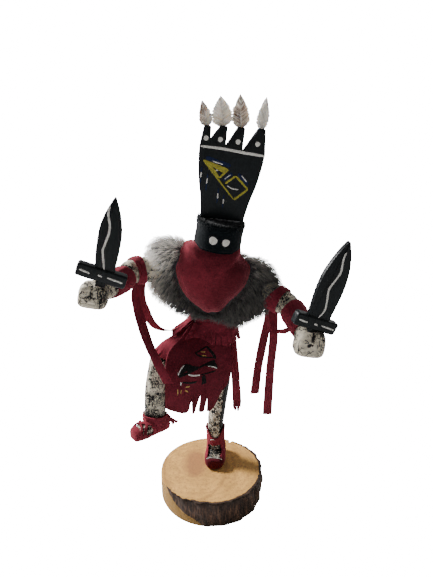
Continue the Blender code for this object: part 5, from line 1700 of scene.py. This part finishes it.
# Paths and widths of strokes, then corners of patches, as shares across and down the apron
APRON_MARKS = (
    ("apron_ink", "ink",
     ((((0.313, 0.451), (0.481, 0.373)), 0.018), (((0.481, 0.373), (0.63, 0.565)), 0.032),
      (((0.313, 0.451), (0.45, 0.505)), 0.018), (((0.45, 0.505), (0.60, 0.552)), 0.014),
      (((0.145, 0.748), (0.395, 0.625), (0.62, 0.578)), 0.022),
      (((0.20, 0.772), (0.40, 0.755)), 0.014), (((0.44, 0.70), (0.66, 0.69)), 0.012)),
     (((0.200, 0.620), (0.255, 0.597), (0.262, 0.655), (0.150, 0.745)),
      ((0.250, 0.598), (0.395, 0.606), (0.390, 0.640), (0.245, 0.680)),
      ((0.480, 0.612), (0.610, 0.578), (0.690, 0.665), (0.560, 0.640)),
      ((0.46, 0.712), (0.50, 0.708), (0.53, 0.775), (0.47, 0.785)))),
    ("apron_white", "white",
     ((((0.143, 0.735), (0.203, 0.628)), 0.013), (((0.262, 0.700), (0.432, 0.700)), 0.014),
      (((0.527, 0.625), (0.680, 0.664)), 0.014), (((0.180, 0.800), (0.184, 0.775)), 0.012)), ()),
    ("apron_gold", "gold",
     ((((0.148, 0.865), (0.150, 0.828)), 0.009), (((0.186, 0.848), (0.190, 0.824)), 0.009),
      (((0.24, 0.820), (0.28, 0.826)), 0.009), (((0.245, 0.797), (0.298, 0.789)), 0.009),
      (((0.404, 0.430), (0.470, 0.446)), 0.010), (((0.420, 0.474), (0.485, 0.499)), 0.010)), ()))


def cloth_skin(guides, folds):
    """Painted marks follow the apron: (across, down) shares to points and front normals."""
    def skin(flat):
        points, normals, lift = rippled(guides, flat[..., 0], flat[..., 1], folds, APRON_SEED)
        front = normals * np.where(normals[..., 1:2] < 0, 1, -1)
        return points + normals * lift[..., None] + front * SUEDE / 2, front
    return skin


def build_waist():
    """The suede that hangs from the waist, each panel cut into strands at its hem."""
    folds = sizes().fold_depth
    thick = sizes().suede_thickness
    panels = (
        ("waist_fringe_suede", "waist_fringe", waist_guides(), even_cuts(26, 0.0036, 0.45, 1),
         ((1.0, 0.975), (0.975, 1.0), (1.0, 1.0), (0.95, 0.985)), 0.0, 2, 4, 0.0007),
        ("apron_suede", "front_apron", panel_guides(APRON_TURNS, APRON), APRON_CUTS, APRON_TIPS,
         folds, APRON_SEED, 10, 0.0012),
        ("back_flap_suede", "back_flap", panel_guides((232, 180, 128), BACK_FLAP),
         even_cuts(7, 0.018, 0.72, 4), ((1, 0.97), (0.96, 1), (1, 1)), folds * 0.7, 4, 8, 0.0010),
        ("hip_wrap_suede", "hip_wrap", panel_guides((-62, -82, -102, -120), HIP_WRAP),
         even_cuts(7, 0.016, 0.78, 5), ((1, 0.96), (0.95, 1), (0.98, 0.98)), 0.0, 5, 8, 0.0006),
        ("side_sash_suede", "side_sash", sash_guides(),
         ((0.42, 0.14, 0.89, 0), (0.78, 0.16, 0.90, 0)),
         ((0.975, 1.0), (1.0, 0.985), (0.97, 0.93)), 0.0, 6, 6, 0.0006))
    for name, node, guides, cuts, tips, fold, seed, inner, curl in panels:
        points, solid = panel(guides, cuts, tips, fold, seed, inner, curl=curl)
        part = slab(points, thick, solid)
        # Painted shade: the front apron darkened, as it hangs turned from the light.
        shade = np.full(len(part[0]), 0.45 if node == "front_apron" else 0.0)
        piece = suede_piece(name, part, [node], {"painted_shade": shade})
        declare(piece, points, solid, "hung", ["figure"])
    skin = cloth_skin(panel_guides(APRON_TURNS, APRON), folds)
    for name, colour, lines, corners in APRON_MARKS:
        marks = [stroke(skin, path, width, 30, 0.5, 1) for path, width in lines]
        marks += [patch(skin, four) for four in corners]
        painted(name, marks, colour, "red_suede")


def band_rings(limb_rows, middle, length, slant, rows, sides):
    """Ring of suede: shares along the limb that slant as sin of the turn, bulging between."""
    run = np.linalg.norm(np.diff(np.array(limb_rows)[:, :3], axis=0), axis=1).sum() * STEP
    place = np.linspace(-1, 1, rows)[:, None]
    angles = full_turn(sides) + 0 * place
    ripple = 0.03 * (field(angles * 10.0 / math.pi, 0 * angles + 3, 17) - 0.5)
    shares = middle + length / run / 2 * place * (1 + ripple) + slant * np.cos(
        angles - math.pi / 2)
    swell = 0.35 * SUEDE * (1 - place ** 2) + 0 * angles
    wrinkle = (field(angles * 10.0 / math.pi * 2, place * 2 + 5, 19) - 0.5) * 0.0006
    grow = GAP + SUEDE / 2 + swell + wrinkle
    return limb_surface(limb_rows, shares, angles, grow, ARM_UP)


def ribbon_grid(route, width, rows=70, columns=8, lean=(1.0, 0.25, 0.0), seed=0):
    """Flat strip: its middle line, plus half of the width along a direction that turns slowly."""
    share = np.linspace(0, 1, rows)
    middle = spline(steps(route), share)
    wide = unit(np.array(lean) + np.stack([0 * share, 0.25 * np.sin(5 * share + seed), 0 * share],
                                          axis=1))
    cut = 1 + 0.12 * (field(share * 8, 0 * share, 30 + seed) - 0.5)
    lanes = np.linspace(-0.5, 0.5, columns)
    points = middle[:, None, :] + wide[:, None, :] * (width * cut[:, None] * lanes)[..., None]
    cup = (lanes ** 2 * 4 - 0.4) * 0.0004
    normals = grid_normals(points)
    return points + normals * (cup + 0 * share[:, None])[..., None]


def build_bands():
    """Armbands and cuffs round the arms, and the strips that hang from them."""
    thick = sizes().suede_thickness
    for side in ("right", "left"):
        grids = [ribbon_grid(STREAMERS["streamer_%s_%s" % (side, place)], STREAMER_WIDTH, seed=i)
                 for i, place in enumerate(("front", "back"))]
        piece = suede_piece("streamers_%s_suede" % side,
                            joined([slab(points, thick) for points in grids]),
                            ["streamer_%s_front" % side, "streamer_%s_back" % side])
        longest = max(np.linalg.norm(np.diff(g, axis=0), axis=-1).sum(axis=0).max() for g in grids)
        area = sum(cell_areas(points).sum() for points in grids)
        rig.sheet(piece, flat=(STREAMER_WIDTH * 2.3, longest), held="hung", rests_on=["figure"],
                 area=area)
    points = ribbon_grid(CUFF_TIE, STREAMER_WIDTH * 0.7, 30, 5, (0.1, -0.4, 0.9))
    tie = suede_piece("cuff_tie_suede", slab(points, thick), ["cuff_tie_left"])
    for node, (limb_rows, middle, length, slant) in BANDS.items():
        points = band_rings(limb_rows, middle, length, slant, 34, 96)
        piece = suede_piece(node + "_suede", slab(points, thick, wrap=True), [node])
        if node.startswith("cuff"):
            closed = np.concatenate([points, points[:, :1]], axis=1)
            declare(piece, closed, np.ones((33, 96), bool), "stretched", ["figure"],
                    [tie] if node == "cuff_left" else [])


def opening(points, place, forward, windows):
    """True where a point lies in a window over the instep and not on a strap across it; a strap
    runs along y = middle + slope x, all as shares of the foot's length and width."""
    sole, across, heading, upward = foot_axes(place, forward)
    offset = points - sole
    x = offset @ across / FOOT_WIDTH
    y = offset @ heading / FOOT_LENGTH
    z = offset @ upward / FOOT_WIDTH
    hole = np.zeros(x.shape, bool)
    for begin, end, low, high, bottom, top, straps in windows:
        here = (y > begin) & (y < end) & (x > low) & (x < high) & (z > bottom) & (z < top)
        for middle, slope, half in straps:
            here &= np.abs(y - middle - slope * x) > half
        hole |= here
    return hole


def shoe_rings(place, forward, grow, spread):
    """The foot's rings grown by the suede and spread sideways."""
    rings = foot_rings(place, forward, grow, 92, 84)
    sole, across = foot_axes(place, forward)[:2]
    return rings + ((rings - sole) @ across * spread)[..., None] * across


def shoe_shell(place, forward, windows, seed, spread=0.0):
    """Suede over the foot's rings, left open where a window lies over the instep."""
    rings = shoe_rings(place, forward, GAP + SUEDE / 2, spread)
    sole = foot_axes(place, forward)[0]
    wrinkle = (field3(rings - sole, 0.0022, seed) - 0.5) * 0.0005
    rings = rings + grid_normals(rings, True) * wrinkle[..., None]
    solid = ~opening(rings, place, forward, windows)[:-1]
    return slab(rings, sizes().suede_thickness, solid, wrap=True)


def ankle_band(limb_rows, reference, low, high, flap, side_turns, flare, seed):
    """Band round the ankle whose top edge rises by the flap's height at the given turns."""
    sides, rows = 84, 36
    angles = full_turn(sides)[None, :]
    rise = sum(np.exp(-(((angles - turn + math.pi) % (2 * math.pi) - math.pi) / 0.95) ** 4)
               for turn in side_turns)
    place = np.linspace(0, 1, rows)[:, None]
    top = high + (flap + 0.02 * (field(angles * 6, 0 * angles, seed) - 0.5)) * np.minimum(rise, 1)
    shares = low + (top - low) * place
    lift = GAP * 2 + SUEDE / 2 + flare * np.clip(rise, 0, 1) * place ** 3
    wrinkle = (field(angles * 5, place * 4, seed + 1) - 0.5) * 0.0007
    return limb_surface(limb_rows, shares, angles + 0 * place, lift + wrinkle, reference)


SHORT_THREAD = ((-1.4, 7.9, 22.4), (2.2, 7.7, 22.6))
HEEL_FRINGE = (((-37, -25, 70.5), (-32, -25.5, 66), (-28.5, -26, 60)),
               ((-37, -24.5, 70), (-31, -25.5, 64.8), (-25.5, -26.5, 62)),
               ((-37, -25, 68.5), (-33.5, -26, 63.5), (-32, -27, 58.5)))
# Begin, end, low and high sides, bottom, top, and straps as middle, slope and half width
STANDING_WINDOW = ((0.10, 0.56, -0.38, 0.47, 0.30, 1.22, ()),)
BAND_WINDOW = ((-0.1, 0.6, -0.38, 0.47, 0.30, 1.12, ()),)
RAISED_WINDOW = ((0.06, 0.52, -0.62, 0.62, 0.30, 1.4,
                  ((0.31, 0.30, 0.055), (0.20, -0.45, 0.045), (0.42, -0.22, 0.025))),)


def build_moccasins():
    """Shoes of suede with a cut open instep, bands with flaps round the ankles, a stitched
    thread on one and a torn fringe behind the other."""
    thick = sizes().suede_thickness
    left = shoe_shell(*FOOT_LEFT, STANDING_WINDOW, 5, SHOE_SPREAD)
    points = ankle_band(LEG_LEFT, LEG_UP, -0.02, 0.16, 0.12, (0.0, math.pi), 0.0004, 6)
    hole = opening(points, *FOOT_LEFT, BAND_WINDOW)
    band = slab(points, thick, ~hole[:-1], wrap=True)
    shoe = joined([left, band])
    sole, _, heading, _ = foot_axes(*FOOT_LEFT)
    # Painted shade: the standing shoe's toe darkened, where it lies in shadow.
    toe = np.clip(((shoe[0] - sole) @ heading / FOOT_LENGTH - 0.44) / 0.12, 0, 1)
    suede_piece("moccasin_left_suede", shoe, ["moccasin_left"], {"painted_shade": 0.80 * toe})
    rings = shoe_rings(*FOOT_LEFT, GAP + 1.1 * SUEDE, SHOE_SPREAD)
    circle = THREAD_RADIUS * around(full_turn(8), np.array([0, 1.0, 0]), np.array([0, 0, 1.0]))
    short = steps(np.linspace(*SHORT_THREAD, 12))
    verts, quads, fans = joined([tube(arc[:, None, :] + circle)
                                 for arc in (rings[65][9:34], short)])
    put("moccasin_thread", verts, [quads, fans], finish("white"), "red_suede")
    right = shoe_shell(*FOOT_RIGHT, RAISED_WINDOW, 8)
    band = slab(ankle_band(SHIN_RIGHT, THIGH_UP, 0.74, 1.02, 0.0, (), 0.0, 9)[::-1], thick,
                wrap=True)
    fringe = [slab(ribbon_grid(route, HEEL_FRINGE_WIDTH, 26, 5, (0.5, 0.2, 0.6), i), thick * 0.8)
              for i, route in enumerate(HEEL_FRINGE)]
    suede_piece("moccasin_right_suede", joined([right, band] + fringe), ["moccasin_right"])


# Stage

def aim_at(lamp, place, target):
    """Puts a lamp at a place with its -Z axis towards the target."""
    lamp.location = place
    direction = np.array(target, float) - np.array(place, float)
    lamp.rotation_euler = (math.atan2(np.hypot(direction[0], direction[1]), -direction[2]), 0,
                           math.atan2(direction[0], -direction[1]) + math.pi)


WORLD_FRONT = 0.145
WORLD_BACK = 0.48
SEEN_WHITE = 22.0
FLOOR_REACH = 4.0
# Name, power in watts, size and place in metres
LAMPS = (("key", 20.0, 0.22, (-0.66, 0.30, 0.60)), ("rim", 0.8, 0.5, (0.65, 0.60, 0.35)),
         ("fill", 0.35, 0.9, (-0.45, -0.8, 0.5)))
DOLL_MIDDLE = (0, 0, 0.15)
CAMERA_PLACE = (0.0043, -0.3483, 0.2896)
CAMERA_TURN = (math.radians(72.94), 0, 0)


def build_floor():
    """Pale floor just under the base, white where the camera sees it."""
    made = Finish("floor")
    paint = made.filled({
        "Base Color": blend(noise(made.coord, 3.0, 2), (0.86, 0.86, 0.86), (0.90, 0.90, 0.90)),
        "Roughness": 0.9})
    shader = Value(made.tree, made.tree.nodes["Principled BSDF"].outputs[0])
    glow = add(made.tree, "ShaderNodeEmission", {"Color": (1.0, 1.0, 1.0, 1.0),
                                                 "Strength": SEEN_WHITE})
    mixed = add(made.tree, "ShaderNodeMixShader", {
        0: add(made.tree, "ShaderNodeLightPath"), 1: shader, 2: glow})
    plug(made.tree, made.tree.nodes["Material Output"], {"Surface": mixed})
    line = np.linspace(-FLOOR_REACH, FLOOR_REACH, 9)
    points = np.stack([*np.meshgrid(line, line), np.full((9, 9), -0.00005)], axis=-1)
    index = np.arange(81).reshape(9, 9)
    quads = np.stack([index[:-1, :-1], index[:-1, 1:], index[1:, 1:], index[1:, :-1]],
                     axis=-1).reshape(-1, 4)
    mesh = bpy.data.meshes.new("floor")
    mesh.from_pydata(points.reshape(-1, 3).tolist(), [], quads.tolist())
    mesh.materials.append(paint)
    floor = bpy.data.objects.new("floor", mesh)
    bpy.context.scene.collection.objects.link(floor)
    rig.stage(floor)


def build_world():
    """Sky that brightens from the front to the back, white where the camera sees it."""
    world = bpy.data.worlds.new("studio")
    world.use_nodes = True
    tree = world.node_tree
    aim = add(tree, "ShaderNodeSeparateXYZ", {0: add(tree, "ShaderNodeTexCoord", output=0)}, 1)
    sky = ramp(aim * 0.5 + 0.5, (0.25, WORLD_FRONT), (0.75, WORLD_BACK))
    seen = add(tree, "ShaderNodeLightPath")
    plug(tree, tree.nodes["Background"], {
        0: (1.0, 1.0, 1.0, 1.0), 1: sky * (1.0 - seen) + seen * SEEN_WHITE})
    bpy.context.scene.world = world


def build_stage():
    """Pale floor, soft lights from the upper left and a weak fill, and the photograph's camera."""
    scene = bpy.context.scene
    build_floor()
    build_world()
    for name, energy, size, place in LAMPS:
        lamp_data = bpy.data.lights.new(name, "AREA")
        lamp_data.energy = energy
        lamp_data.size = size
        lamp = bpy.data.objects.new(name, lamp_data)
        scene.collection.objects.link(lamp)
        aim_at(lamp, place, DOLL_MIDDLE)
    camera = bpy.data.cameras.new("camera")
    camera.lens = 30.0
    camera.sensor_width = 36.0
    camera.clip_start = 0.01
    view = bpy.data.objects.new("camera", camera)
    view.location = CAMERA_PLACE
    view.rotation_euler = CAMERA_TURN
    scene.collection.objects.link(view)
    scene.camera = view


BUILDERS = (("log_slice", "Log slice", build_log_slice), ("carved_body", "Carved body", build_body),
            ("head", "Head and eyes", build_head), ("crown", "Crown", build_crown),
            ("feathers", "Feathers", build_feathers), ("swords", "Swords", build_swords),
            ("collar", "Felt collar", build_collar), ("fur", "Fur", build_fur),
            ("waist", "Waist panels", build_waist), ("bands", "Bands and strips", build_bands),
            ("moccasins", "Moccasins", build_moccasins), ("stage", "Stage", build_stage))


def operator_for(key, label, builder):
    """Operator class that runs one builder."""
    def execute(self, context):
        builder()
        return {"FINISHED"}
    return type("DOLL_OT_" + key, (bpy.types.Operator,), {
        "bl_idname": "doll." + key, "bl_label": label, "__doc__": builder.__doc__,
        "execute": execute})


OPERATORS = [operator_for(*row) for row in BUILDERS]


class DOLL_PT_workshop(bpy.types.Panel):
    """Lists the pieces, the sizes and the colours."""
    bl_label = "Dancer doll"
    bl_space_type = "VIEW_3D"
    bl_region_type = "UI"
    bl_category = "Dancer doll"

    def draw(self, context):
        for made in OPERATORS:
            self.layout.operator(made.bl_idname)
        for group in (context.scene.doll_sizes, context.scene.doll_colours):
            box = self.layout.box()
            for key in group.__annotations__:
                box.prop(group, key)


CLASSES = [DollSizes, DollColours] + OPERATORS + [DOLL_PT_workshop]


def register():
    """Registers the classes and the scene's two property groups."""
    for made in CLASSES:
        bpy.utils.register_class(made)
    bpy.types.Scene.doll_sizes = bpy.props.PointerProperty(type=DollSizes)
    bpy.types.Scene.doll_colours = bpy.props.PointerProperty(type=DollColours)


def unregister():
    """Takes back what register does."""
    del bpy.types.Scene.doll_colours
    del bpy.types.Scene.doll_sizes
    for made in reversed(CLASSES):
        bpy.utils.unregister_class(made)


def main():
    """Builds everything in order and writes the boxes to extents.json."""
    register()
    for key, _, _ in BUILDERS:
        getattr(bpy.ops.doll, key)()
    with open("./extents.json", "w") as out:
        json.dump({"packed_box": PACKED_BOX,
                   "visual_box": [list(corner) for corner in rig.bounds()]}, out)


if __name__ == "__main__":
    main()
